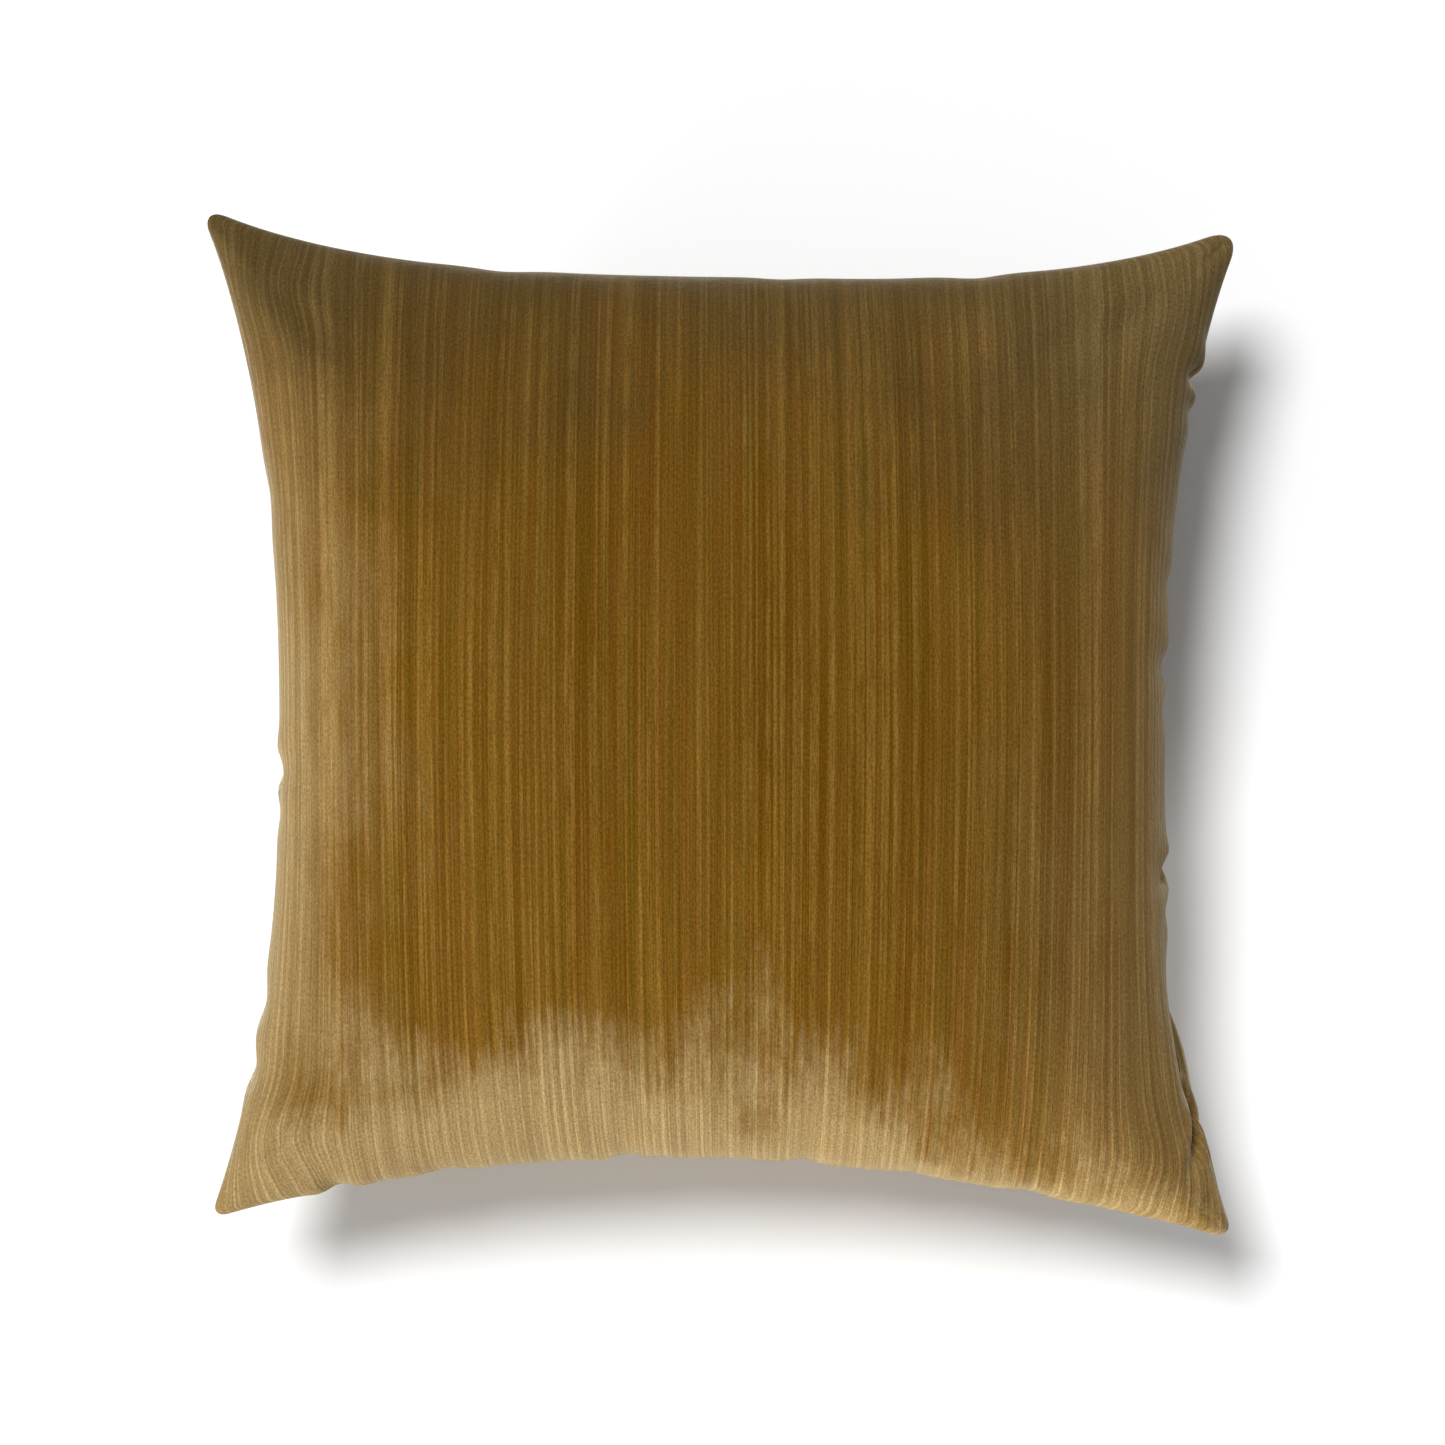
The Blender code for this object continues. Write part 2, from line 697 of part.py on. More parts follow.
clear_scene()
velvet = finish("velvet", VELVET_GOLD, roughness=0.85)
cover_thread = finish("cover_thread", THREAD_GOLD, roughness=0.6)
tape = finish("zip_tape", TAPE_BROWN, roughness=0.8)
nylon = finish("zip_nylon", COIL_BROWN, roughness=0.35)
brass = finish("zip_metal", BRASS, roughness=0.3, metallic=1.0)
calico = finish("calico", CALICO, roughness=0.85)
white_thread = finish("white_thread", CALICO, roughness=0.6)
fibre = finish("fibre", FIBRE, roughness=0.95)
build_panels(velvet)
build_cover_threads(cover_thread)
build_tapes(tape)
build_coils(nylon)
build_tape_stitching(cover_thread)
build_stops(brass)
build_slider(brass)
build_pull(brass)
build_casing(calico)
build_insert_threads(white_thread)
build_filling(fibre)
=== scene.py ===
"""A bronze-gold strié velvet throw pillow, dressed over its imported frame."""

import math

import bpy
import numpy as np
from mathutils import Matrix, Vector


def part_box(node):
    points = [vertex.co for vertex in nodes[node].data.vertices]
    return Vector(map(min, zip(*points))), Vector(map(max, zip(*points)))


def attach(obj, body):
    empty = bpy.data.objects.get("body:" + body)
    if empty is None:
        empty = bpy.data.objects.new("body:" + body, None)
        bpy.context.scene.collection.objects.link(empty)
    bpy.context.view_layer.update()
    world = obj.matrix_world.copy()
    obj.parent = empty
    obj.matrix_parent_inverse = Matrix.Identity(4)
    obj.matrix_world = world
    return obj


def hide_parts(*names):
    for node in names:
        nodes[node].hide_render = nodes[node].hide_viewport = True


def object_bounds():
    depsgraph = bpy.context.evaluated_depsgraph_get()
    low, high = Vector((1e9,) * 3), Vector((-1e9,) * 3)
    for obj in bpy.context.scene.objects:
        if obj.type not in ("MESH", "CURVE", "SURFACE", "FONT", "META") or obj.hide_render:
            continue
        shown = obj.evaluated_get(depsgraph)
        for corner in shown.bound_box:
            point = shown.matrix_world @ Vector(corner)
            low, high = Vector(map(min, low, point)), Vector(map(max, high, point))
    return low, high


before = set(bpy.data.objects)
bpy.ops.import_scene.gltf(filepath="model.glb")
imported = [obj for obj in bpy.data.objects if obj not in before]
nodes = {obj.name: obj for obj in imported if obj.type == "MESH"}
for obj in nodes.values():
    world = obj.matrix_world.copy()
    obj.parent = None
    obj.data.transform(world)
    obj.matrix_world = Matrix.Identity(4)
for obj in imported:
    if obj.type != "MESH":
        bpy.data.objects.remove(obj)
cad_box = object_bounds()


# --- Studio -------------------------------------------------------------------------------------
# The pillow lies on a plain white sweep and is looked at from straight above, down a long lens.
# A high soft key stands to the upper left, a low one rakes the pile from the lower left.

front_low, front_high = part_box("front_panel")
back_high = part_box("back_panel")[1]
SEAM_Z = (front_low.z + back_high.z) / 2
VIEW_WIDTH = 0.6895  # what the camera takes in at the seam's height
VIEW_SHIFT = 0.0005  # the camera stands this far right of the middle and towards the head
LENS_MM = 100.0
SENSOR_MM = 36.0

camera_data = bpy.data.cameras.new("overhead_camera")
camera_data.lens = LENS_MM
camera_data.sensor_width = SENSOR_MM
camera_data.clip_end = 20.0
camera = bpy.data.objects.new("overhead_camera", camera_data)
camera.location = (VIEW_SHIFT, VIEW_SHIFT, SEAM_Z + VIEW_WIDTH * LENS_MM / SENSOR_MM)
bpy.context.scene.collection.objects.link(camera)
bpy.context.scene.camera = camera


def lamp(name, place, strength, colour, spread):
    """A soft sun that shines from a place towards the middle of the floor."""
    data = bpy.data.lights.new(name, "SUN")
    data.energy = strength
    data.color = colour
    data.angle = math.radians(spread)
    light = bpy.data.objects.new(name, data)
    light.location = place
    light.rotation_euler = (-Vector(place)).to_track_quat("-Z", "Y").to_euler()
    bpy.context.scene.collection.objects.link(light)


lamp("key_sun", place=(-0.365, 0.46, 1.0), strength=3.20, colour=(1.0, 0.995, 0.985), spread=21)
lamp("raking_sun", place=(-0.56, -0.83, 0.10), strength=5.0, colour=(1.0, 0.985, 0.955), spread=14)

SOFT_LIGHT = 0.285  # what the air lights the pillow with
BACKDROP = 0.92  # how pale the air itself looks
world = bpy.data.worlds.new("studio_air")
world.use_nodes = True
air = world.node_tree.nodes["Background"]
air.inputs["Color"].default_value = (1.0, 1.0, 1.0, 1.0)
seen = world.node_tree.nodes.new("ShaderNodeLightPath")
brightness = world.node_tree.nodes.new("ShaderNodeMapRange")
brightness.inputs["To Min"].default_value = SOFT_LIGHT
brightness.inputs["To Max"].default_value = BACKDROP
world.node_tree.links.new(seen.outputs["Is Camera Ray"], brightness.inputs["Value"])
world.node_tree.links.new(brightness.outputs["Result"], air.inputs["Strength"])
bpy.context.scene.world = world
bpy.context.scene.view_settings.view_transform = "Standard"

FLOOR_REACH = 6.0
FLOOR_DROP = 0.0004  # keeps the floor just clear of the velvet that rests on it
corners = [(x * FLOOR_REACH, y * FLOOR_REACH, -FLOOR_DROP)
           for x, y in ((-1, -1), (1, -1), (1, 1), (-1, 1))]
floor_mesh = bpy.data.meshes.new("studio_floor")
floor_mesh.from_pydata(corners, [], [(0, 1, 2, 3)])
floor = bpy.data.objects.new("studio_floor", floor_mesh)
bpy.context.scene.collection.objects.link(floor)
paper = bpy.data.materials.new("white_paper")
paper.use_nodes = True
paper_look = paper.node_tree.nodes["Principled BSDF"].inputs
paper_look["Base Color"].default_value = (0.875, 0.885, 0.900, 1)
paper_look["Roughness"].default_value = 0.9
paper_look["Specular IOR Level"].default_value = 0.1
floor_mesh.materials.append(paper)


# --- Velvet panels: front and back --------------------------------------------------------------
# Two squares of cotton strié velvet, cut 533 mm with the stripe running up the pillow, sewn face to
# face 13 mm in and turned out, so each folds over its own allowance at a knife edge. The insert
# swells them, the ears stay pinched, and the spare cloth along the seams gathers into puckers.

CUT = 0.533
ALLOWANCE = 0.0127
SEWN_HALF = CUT / 2 - ALLOWANCE
CLOTH = 0.0011
# Each ear, by its side (-1 left) and its end (-1 foot): its tip's radius, how far the tip is drawn
# out, and how far the stripes bow out beside it.
EAR_TIPS = {(-1, 1): 0.0110, (1, 1): 0.0155, (-1, -1): 0.0068, (1, -1): 0.0092}
EAR_REACH = {(-1, 1): 0.0030, (1, 1): 0.0036, (-1, -1): 0.0008, (1, -1): 0.0022}
EAR_SWING = {(-1, 1): 0.007, (1, 1): 0.005, (-1, -1): 0.010, (1, -1): 0.006}
EAR_NARROWNESS = 14  # the higher, the nearer to the tip the drawing out stays
EAR_TAPER = 0.0018  # the head is wider than the middle by this, each side, and the foot narrower
RIGHT_DROP = 0.0045  # the cover is sewn a little askew, its right side towards the foot
INSET = {"left": 0.0345, "right": 0.0340, "top": 0.0275, "bottom": 0.0335}  # at mid edge
EDGE_BOW = {"side": 2.4, "top": 3.2, "foot_left": 2.15, "foot_right": 1.70}
ROUNDING = 0.0012  # what rounding the tips takes off the outline
HALF_WIDTH = (cad_box[1][0] - cad_box[0][0]) / 2 - EAR_TAPER + ROUNDING
HALF_DEPTH = (cad_box[1][1] - cad_box[0][1]) / 2 - RIGHT_DROP + ROUNDING
EDGE_RISE = 0.0019  # where the stuffed cloth ends and the fold to the seam starts
CROWN = front_high.z - SEAM_Z - EDGE_RISE - CLOTH / 2
DEPTH = SEAM_Z - CLOTH / 2 - EDGE_RISE
FLATTENING = 1.25  # how far past the floor the back would swell if nothing pressed it flat
KNEE = 0.12  # how softly it turns up from the part that rests
PANEL_CELLS = 112
CROWDING = 0.45  # how much closer the mesh lies along the seams than in the middle
ZIP_OPEN_HALF = 0.199  # the lips stand apart this far each side of the middle
LIP_STAND = 0.0046
LIP_RAMP = 0.018
HIGHEST = front_high.z + 0.004


def round_ears(u, v):
    """Turns the map's sharp corners into the soft tips of turned-out ears."""
    u, v = u.copy(), v.copy()
    for (side, end), radius in EAR_TIPS.items():
        size = radius / HALF_WIDTH
        du, dv = side * u - (1 - size), end * v - (1 - size)
        inside = (du > 0) & (dv > 0)
        square, circle = np.maximum(du, dv), np.hypot(du, dv)
        ratio = np.where(inside, square / np.maximum(circle, 1e-12), 1.0)
        u = np.where(inside, side * (1 - size + du * ratio), u)
        v = np.where(inside, end * (1 - size + dv * ratio), v)
    return u, v


def plan(u, v, inboard=0.0):
    """Where a place on the panel lies, seen from above, with the outline moved in."""
    u, v = round_ears(u, v)
    side = np.where(u > 0, INSET["right"], INSET["left"]) * (1 - np.abs(v) ** EDGE_BOW["side"])
    foot = np.where(u > 0, EDGE_BOW["foot_right"], EDGE_BOW["foot_left"])
    bow = np.where(v > 0, EDGE_BOW["top"], foot)
    end = np.where(v > 0, INSET["top"], INSET["bottom"]) * (1 - np.abs(u) ** bow)
    x = u * (HALF_WIDTH + EAR_TAPER * v - inboard - side * u * u)
    y = v * (HALF_DEPTH - inboard - end * v * v) - RIGHT_DROP * u
    for (side, end), reach in EAR_REACH.items():
        near = np.clip(side * u * end * v, 0, 1) ** EAR_NARROWNESS
        drawn_out = reach * near * (side * u > 0)
        x, y = x + side * drawn_out, y + end * drawn_out
    return x, y


def lip(u, v):
    """The zip holds the two folded edges apart along the bottom seam."""
    past = np.abs(u) * (HALF_WIDTH - EAR_TAPER) - ZIP_OPEN_HALF
    shut = np.clip(past / LIP_RAMP, 0, 1)
    shut = shut * shut * (3 - 2 * shut)
    return np.where(v <= -1 + 1e-9, LIP_STAND * (1 - shut), 0.0)


def height(side, u, v):
    """Stuffed height of a panel over its own edge: crowned in front, pressed flat behind."""
    rise = np.sqrt(np.clip(1 - u * u, 0, 1) * np.clip(1 - v * v, 0, 1))
    if side > 0:
        return CROWN * rise
    free = FLATTENING * rise
    soft = free - (free - 1 + KNEE) ** 2 / (4 * KNEE)
    return DEPTH * np.where(free < 1 - KNEE, free, np.where(free > 1 + KNEE, 1.0, soft))


def formed(side, u, v):
    """The smooth form of a panel's cloth, as points."""
    x, y = plan(u, v)
    edge = EDGE_RISE + lip(u, v)
    z = SEAM_Z + side * (edge + height(side, u, v))
    return np.stack([x, y, z], axis=-1)


def spaced_by_cloth(side, cut_u, cut_v):
    """Slides places along the form until equal lengths of cloth lie between them."""
    fine = np.linspace(-1, 1, 401)
    u, v = cut_u.copy(), cut_v.copy()
    for j in range(cut_u.shape[0]):
        line = formed(side, fine, np.full_like(fine, cut_v[j, 0]))
        run = np.concatenate([[0], np.cumsum(np.linalg.norm(np.diff(line, axis=0), axis=1))])
        u[j] = np.interp(cut_u[j], 2 * run / run[-1] - 1, fine)
    for i in range(cut_u.shape[1]):
        line = formed(side, np.full_like(fine, cut_u[0, i]), fine)
        run = np.concatenate([[0], np.cumsum(np.linalg.norm(np.diff(line, axis=0), axis=1))])
        v[:, i] = np.interp(cut_v[:, i], 2 * run / run[-1] - 1, fine)
    return u, v


LEAN = {"head": 0.002, "foot": 0.005}
LEAN_FROM = 0.50  # the share of the way to a seam where the lean starts
LEAN_LEVEL = 2.6  # brings the lean's curve across the panel to a peak of one


def leaned(u, v):
    """Draws the stripes towards the middle where they come up to the head and foot seams."""
    near = np.clip((np.abs(v) - LEAN_FROM) / (1 - LEAN_FROM), 0, 1) ** 2
    pull = np.where(v > 0, LEAN["head"], LEAN["foot"]) / HALF_WIDTH
    return u - pull * near * u * (1 - u * u) * LEAN_LEVEL


def quads(rows, columns, start=0):
    """Faces of a grid of points, row after row."""
    corner = np.arange(rows - 1)[:, None] * columns + np.arange(columns - 1)[None, :] + start
    faces = np.stack([corner, corner + 1, corner + columns + 1, corner + columns], axis=-1)
    return faces.reshape(-1, 4)


def mesh_object(name, points, faces):
    """A smooth-shaded mesh, put into the scene."""
    mesh = bpy.data.meshes.new(name)
    mesh.from_pydata(np.asarray(points).reshape(-1, 3).tolist(), [], np.asarray(faces).tolist())
    mesh.shade_smooth()
    obj = bpy.data.objects.new(name, mesh)
    bpy.context.scene.collection.objects.link(obj)
    return obj


def mark_cut(obj, places):
    """Keeps each point's place on the flat cloth, in metres, for the weave to follow."""
    layer = obj.data.uv_layers.new(name="cut")
    corners = np.empty(len(obj.data.loops), np.int32)
    obj.data.loops.foreach_get("vertex_index", corners)
    layer.uv.foreach_set("vector", places[corners].reshape(-1).astype(np.float32))


def made_thick(obj, thickness):
    """Smooths a sheet once and gives it its thickness."""
    smooth = obj.modifiers.new("smooth_cloth", "SUBSURF")
    smooth.levels = smooth.render_levels = 1
    smooth.boundary_smooth = "PRESERVE_CORNERS"
    thick = obj.modifiers.new("cloth_thickness", "SOLIDIFY")
    thick.thickness = thickness
    thick.offset = 0
    return obj


STUFFING_PRESSURE = 4.0
STUFFING_FRAMES = 20
CLOTH_GIVE = 0.0090  # the most that the cloth may leave its form


def stuffed_by_simulation(side, start, flat):
    """Blows a flat-cut panel, held at its seam, against its own stretch, and returns its points."""
    count = start.shape[0]
    faces = quads(count, count)
    obj = mesh_object("cloth_trial", start, faces if side > 0 else faces[:, ::-1])
    obj.shape_key_add(name="formed")
    cut = obj.shape_key_add(name="cut_flat")
    cut.data.foreach_set("co", flat.reshape(-1).astype(np.float32))
    sewn = obj.vertex_groups.new(name="sewn_edge")
    index = np.arange(count * count).reshape(count, count)
    edge = np.concatenate([index[0], index[-1], index[:, 0], index[:, -1]])
    sewn.add(sorted(set(int(i) for i in edge)), 1.0, "REPLACE")
    cloth = obj.modifiers.new("stuffing", "CLOTH")
    cloth.settings.quality = 6
    cloth.settings.mass = 0.25
    cloth.settings.tension_stiffness = 60
    cloth.settings.compression_stiffness = 40
    cloth.settings.shear_stiffness = 12
    cloth.settings.bending_stiffness = 0.6
    cloth.settings.use_pressure = True
    cloth.settings.uniform_pressure_force = STUFFING_PRESSURE
    cloth.settings.effector_weights.gravity = 0
    cloth.settings.rest_shape_key = cut
    cloth.settings.vertex_group_mass = "sewn_edge"
    cloth.collision_settings.use_collision = False
    cloth.point_cache.frame_end = STUFFING_FRAMES
    scene = bpy.context.scene
    for number in range(1, STUFFING_FRAMES + 1):
        scene.frame_set(number)
    settled = obj.evaluated_get(bpy.context.evaluated_depsgraph_get()).to_mesh()
    points = np.empty(count * count * 3, np.float32)
    settled.vertices.foreach_get("co", points)
    bpy.data.objects.remove(obj, do_unlink=True)
    scene.frame_set(1)
    return points.reshape(count, count, 3).astype(float)


# Puckers where the seam gathers the cloth: edge, place along it, width, depth and reach inwards.
PUCKERS = [
    ("right", 0.700, 0.0050, 0.0036, 0.024),
    ("right", 0.640, 0.0060, 0.0020, 0.030),
    ("right", 0.290, 0.0050, 0.0022, 0.018),
    ("right", 0.135, 0.0055, 0.0034, 0.026),
    ("right", 0.060, 0.0090, 0.0020, 0.020),
    ("right", -0.270, 0.0045, 0.0038, 0.022),
    ("right", -0.335, 0.0060, 0.0018, 0.014),
    ("right", -0.470, 0.0300, 0.0036, 0.032),
    ("right", -0.590, 0.0220, 0.0050, 0.012),
    ("right", -0.720, 0.0190, 0.0058, 0.014),
    ("left", -0.105, 0.0050, 0.0034, 0.026),
    ("left", -0.180, 0.0080, 0.0014, 0.020),
    ("left", 0.420, 0.0120, 0.0010, 0.030),
    ("left", -0.560, 0.0090, 0.0018, 0.020),
    ("left", -0.690, 0.0080, 0.0022, 0.026),
    ("bottom", -0.765, 0.0055, 0.0026, 0.018),
    ("bottom", -0.560, 0.0080, 0.0016, 0.020),
    ("bottom", -0.195, 0.0065, 0.0032, 0.026),
    ("bottom", -0.130, 0.0070, 0.0014, 0.018),
    ("bottom", 0.165, 0.0070, 0.0022, 0.026),
    ("bottom", 0.380, 0.0090, 0.0012, 0.018),
    ("bottom", 0.620, 0.0090, 0.0016, 0.022),
    ("top", -0.420, 0.0120, 0.0010, 0.026),
    ("top", 0.120, 0.0090, 0.0007, 0.020),
    ("top", 0.500, 0.0110, 0.0012, 0.026),
]

# Creases that run over the cloth: both ends as shares of the cut, each way, then width and depth.
CREASES = [
    (-0.894, -0.872, -0.783, -0.761, 0.0042, 0.0026),
    (-0.847, -0.886, -0.724, -0.763, 0.0040, 0.0016),
    (-0.894, 0.878, -0.705, 0.688, 0.0080, 0.0016),
    (0.861, 0.883, 0.672, 0.694, 0.0080, 0.0020),
    (0.741, 0.841, 0.574, 0.674, 0.0080, 0.0014),
    (1.070, -0.600, 0.900, -0.890, 0.0042, 0.0050),
    (1.040, -0.215, 0.915, -0.295, 0.0038, 0.0042),
    (1.030, 0.155, 0.925, 0.095, 0.0042, 0.0030),
    (1.030, 0.715, 0.925, 0.675, 0.0038, 0.0030),
    (-1.030, -0.090, -0.925, -0.150, 0.0040, 0.0030),
]

# The cloth that a hollow takes up stands as a low ridge on each side of it.
RIDGE_OFF = 1.9  # in the hollow's own widths from its middle
PUCKER_RIDGE = 0.42  # the ridge's share of a narrow pucker's depth
RIDGE_CLOTH = 0.0022  # a wider pucker spreads this much cloth more thinly
CREASE_RIDGE = 0.40
WIDENING = 0.5  # how much wider a pucker is at its reach than at the seam
CREASE_ENDS = 1.5  # how quickly a crease fades towards its two ends

# The back swells out past the seam beside the lower right ear.
BACK_BULGE = 0.0085
BULGE_PLACE = 0.72  # the share of the way from the middle to the foot
BULGE_LENGTH = 0.045
BULGE_INBOARD = 0.018
BULGE_WIDTH = 0.013


def gathered(cut_x, cut_y):
    """How far the puckers and creases draw the cloth inwards at places on the cut, in metres."""
    pull = np.zeros_like(cut_x)
    from_edge = {
        "left": (cut_y, SEWN_HALF + cut_x), "right": (cut_y, SEWN_HALF - cut_x),
        "bottom": (cut_x, SEWN_HALF + cut_y), "top": (cut_x, SEWN_HALF - cut_y),
    }
    for edge, place, width, depth, reach in PUCKERS:
        along, inward = from_edge[edge]
        inward = np.maximum(inward, 0)
        off = (along - place * SEWN_HALF) / (width * (1 + WIDENING * inward / reach))
        ridge = min(PUCKER_RIDGE, RIDGE_CLOTH / width)
        shape = np.exp(-off ** 2) - ridge * np.exp(-(np.abs(off) - RIDGE_OFF) ** 2)
        pull += depth * shape * np.exp(-(inward / reach) ** 2)
    for start_x, start_y, end_x, end_y, width, depth in CREASES:
        run_x, run_y = (end_x - start_x) * SEWN_HALF, (end_y - start_y) * SEWN_HALF
        length = math.hypot(run_x, run_y)
        from_x, from_y = cut_x - start_x * SEWN_HALF, cut_y - start_y * SEWN_HALF
        along = (from_x * run_x + from_y * run_y) / length ** 2
        off = (from_x * run_y - from_y * run_x) / length / width
        fade = np.clip(1 - (2 * along - 1) ** 2, 0, 1) ** CREASE_ENDS
        shape = np.exp(-off ** 2) - CREASE_RIDGE * np.exp(-(np.abs(off) - RIDGE_OFF) ** 2)
        pull += depth * fade * shape
    return pull


def outward(points, side):
    """Unit normals of a grid of points, facing out of the pillow."""
    along = np.gradient(points, axis=1)
    up = np.gradient(points, axis=0)
    normal = side * np.cross(along, up)
    return normal / np.maximum(np.linalg.norm(normal, axis=-1, keepdims=True), 1e-12)


def puckered(points, side, cut_u, cut_v):
    """Draws a panel in along its normals at each pucker and crease."""
    cut_x, cut_y = cut_u * SEWN_HALF, cut_v * SEWN_HALF
    pull = gathered(cut_x, cut_y)
    if side < 0:
        beside = np.exp(-((cut_y + BULGE_PLACE * SEWN_HALF) / BULGE_LENGTH) ** 4)
        low = np.exp(-((SEWN_HALF - cut_x - BULGE_INBOARD) / BULGE_WIDTH) ** 2)
        pull = pull - BACK_BULGE * beside * low
    return points - outward(points, side) * pull[..., None]


def cloth_grid(cells):
    """Evenly cut places over a panel, closer together along the seams."""
    even = np.linspace(-1, 1, cells + 1)
    steps = even + CROWDING * np.sin(math.pi * even) / math.pi
    return np.meshgrid(steps, steps)


def panel_cloth(side):
    """Points of one panel's stuffed cloth and the flat-cut places they came from."""
    cut_u, cut_v = cloth_grid(PANEL_CELLS)
    u, v = spaced_by_cloth(side, cut_u, cut_v)
    start = formed(side, leaned(u, v), v)
    flat = np.stack([cut_u * SEWN_HALF, cut_v * SEWN_HALF, np.full_like(u, SEAM_Z)], axis=-1)
    points = start
    moved = stuffed_by_simulation(side, start, flat) - start
    size = np.linalg.norm(moved, axis=-1, keepdims=True)
    held = CLOTH_GIVE * np.tanh(size / CLOTH_GIVE) / np.maximum(size, 1e-9)
    points = start + moved * held
    points = puckered(points, side, cut_u, cut_v)
    points[..., 2] = np.clip(points[..., 2], CLOTH / 2, HIGHEST)
    return points, cut_u, cut_v


# The fold from the knife edge to the raw edge: distance inboard and height over the seam.
FOLD = [(0.0002, 0.0013), (0.0008, 0.0008), (0.0020, 0.0007),
        (0.0060, 0.0008), (0.0095, 0.0012), (0.0120, 0.0013)]
FOLD_TURN = 0.0015  # the cloth that turning the edge over takes up
RIMS = {}  # for each side's seam: where it lies on the map, and where the puckers moved it


def border(count):
    """Grid places round the outline, anticlockwise from the bottom left ear."""
    last = count - 1
    return (
        [(0, i) for i in range(last)] + [(j, last) for j in range(last)]
        + [(last, i) for i in range(last, 0, -1)] + [(j, 0) for j in range(last, 0, -1)]
    )


def seam_ring(side, inboard, rise):
    """The seam line moved inwards and lifted off the seam's plane, following every pucker."""
    edge_u, edge_v, shift = RIMS[side]
    x, y = plan(edge_u, edge_v, inboard)
    fade = 1 - inboard / ALLOWANCE
    z = SEAM_Z + side * (rise + lip(edge_u, edge_v))
    return np.stack([x + shift[:, 0] * fade, y + shift[:, 1] * fade, z], axis=-1)


# Where beside an ear the stripes bow most, across and along, and how far around it they do.
SWING_ACROSS, SWING_ALONG = 0.86, 0.83
SWING_WIDTH, SWING_LENGTH = 0.10, 0.09


def swung(cuts):
    """Bows the stripes out towards the ears, where turning them out pulled the cloth askew."""
    u, v = cuts[:, 0], cuts[:, 1]
    bow = np.zeros_like(u)
    for (side, end), swing in EAR_SWING.items():
        across = (side * u - SWING_ACROSS) / SWING_WIDTH
        along = (end * v - SWING_ALONG) / SWING_LENGTH
        near = np.exp(-across ** 2 - along ** 2)
        bow += side * swing / SEWN_HALF * near
    return np.stack([u - bow, v], axis=-1)


def sewn_panel(name, side):
    """A panel with its folded allowance, as a sheet of real thickness."""
    points, cut_u, cut_v = panel_cloth(side)
    count = points.shape[0]
    rim = np.array(border(count))
    edge_u, edge_v = cut_u[rim[:, 0], rim[:, 1]], cut_v[rim[:, 0], rim[:, 1]]
    shift = points[rim[:, 0], rim[:, 1], :2] - np.stack(plan(edge_u, edge_v), axis=-1)
    RIMS[side] = (edge_u, edge_v, shift)
    rings, cuts = [], []
    for inboard, rise in FOLD:
        rings.append(seam_ring(side, inboard, rise))
        grow = 1 + (FOLD_TURN + inboard) / SEWN_HALF
        cuts.append(np.stack([edge_u * grow, edge_v * grow], axis=-1))
    all_points = np.concatenate([points.reshape(-1, 3)] + rings)
    all_cuts = np.concatenate([np.stack([cut_u, cut_v], axis=-1).reshape(-1, 2)] + cuts)
    faces = quads(count, count).tolist()
    around = len(rim)
    outer = (rim[:, 0] * count + rim[:, 1]).tolist()
    for ring in range(len(FOLD)):
        inner = [count * count + ring * around + k for k in range(around)]
        for k in range(around):
            n = (k + 1) % around
            faces.append((outer[k], inner[k], inner[n], outer[n]))
        outer = inner
    if side < 0:
        faces = [face[::-1] for face in faces]
    obj = mesh_object(name, all_points, faces)
    mark_cut(obj, (swung(all_cuts) + 1) * SEWN_HALF)
    return made_thick(obj, CLOTH)


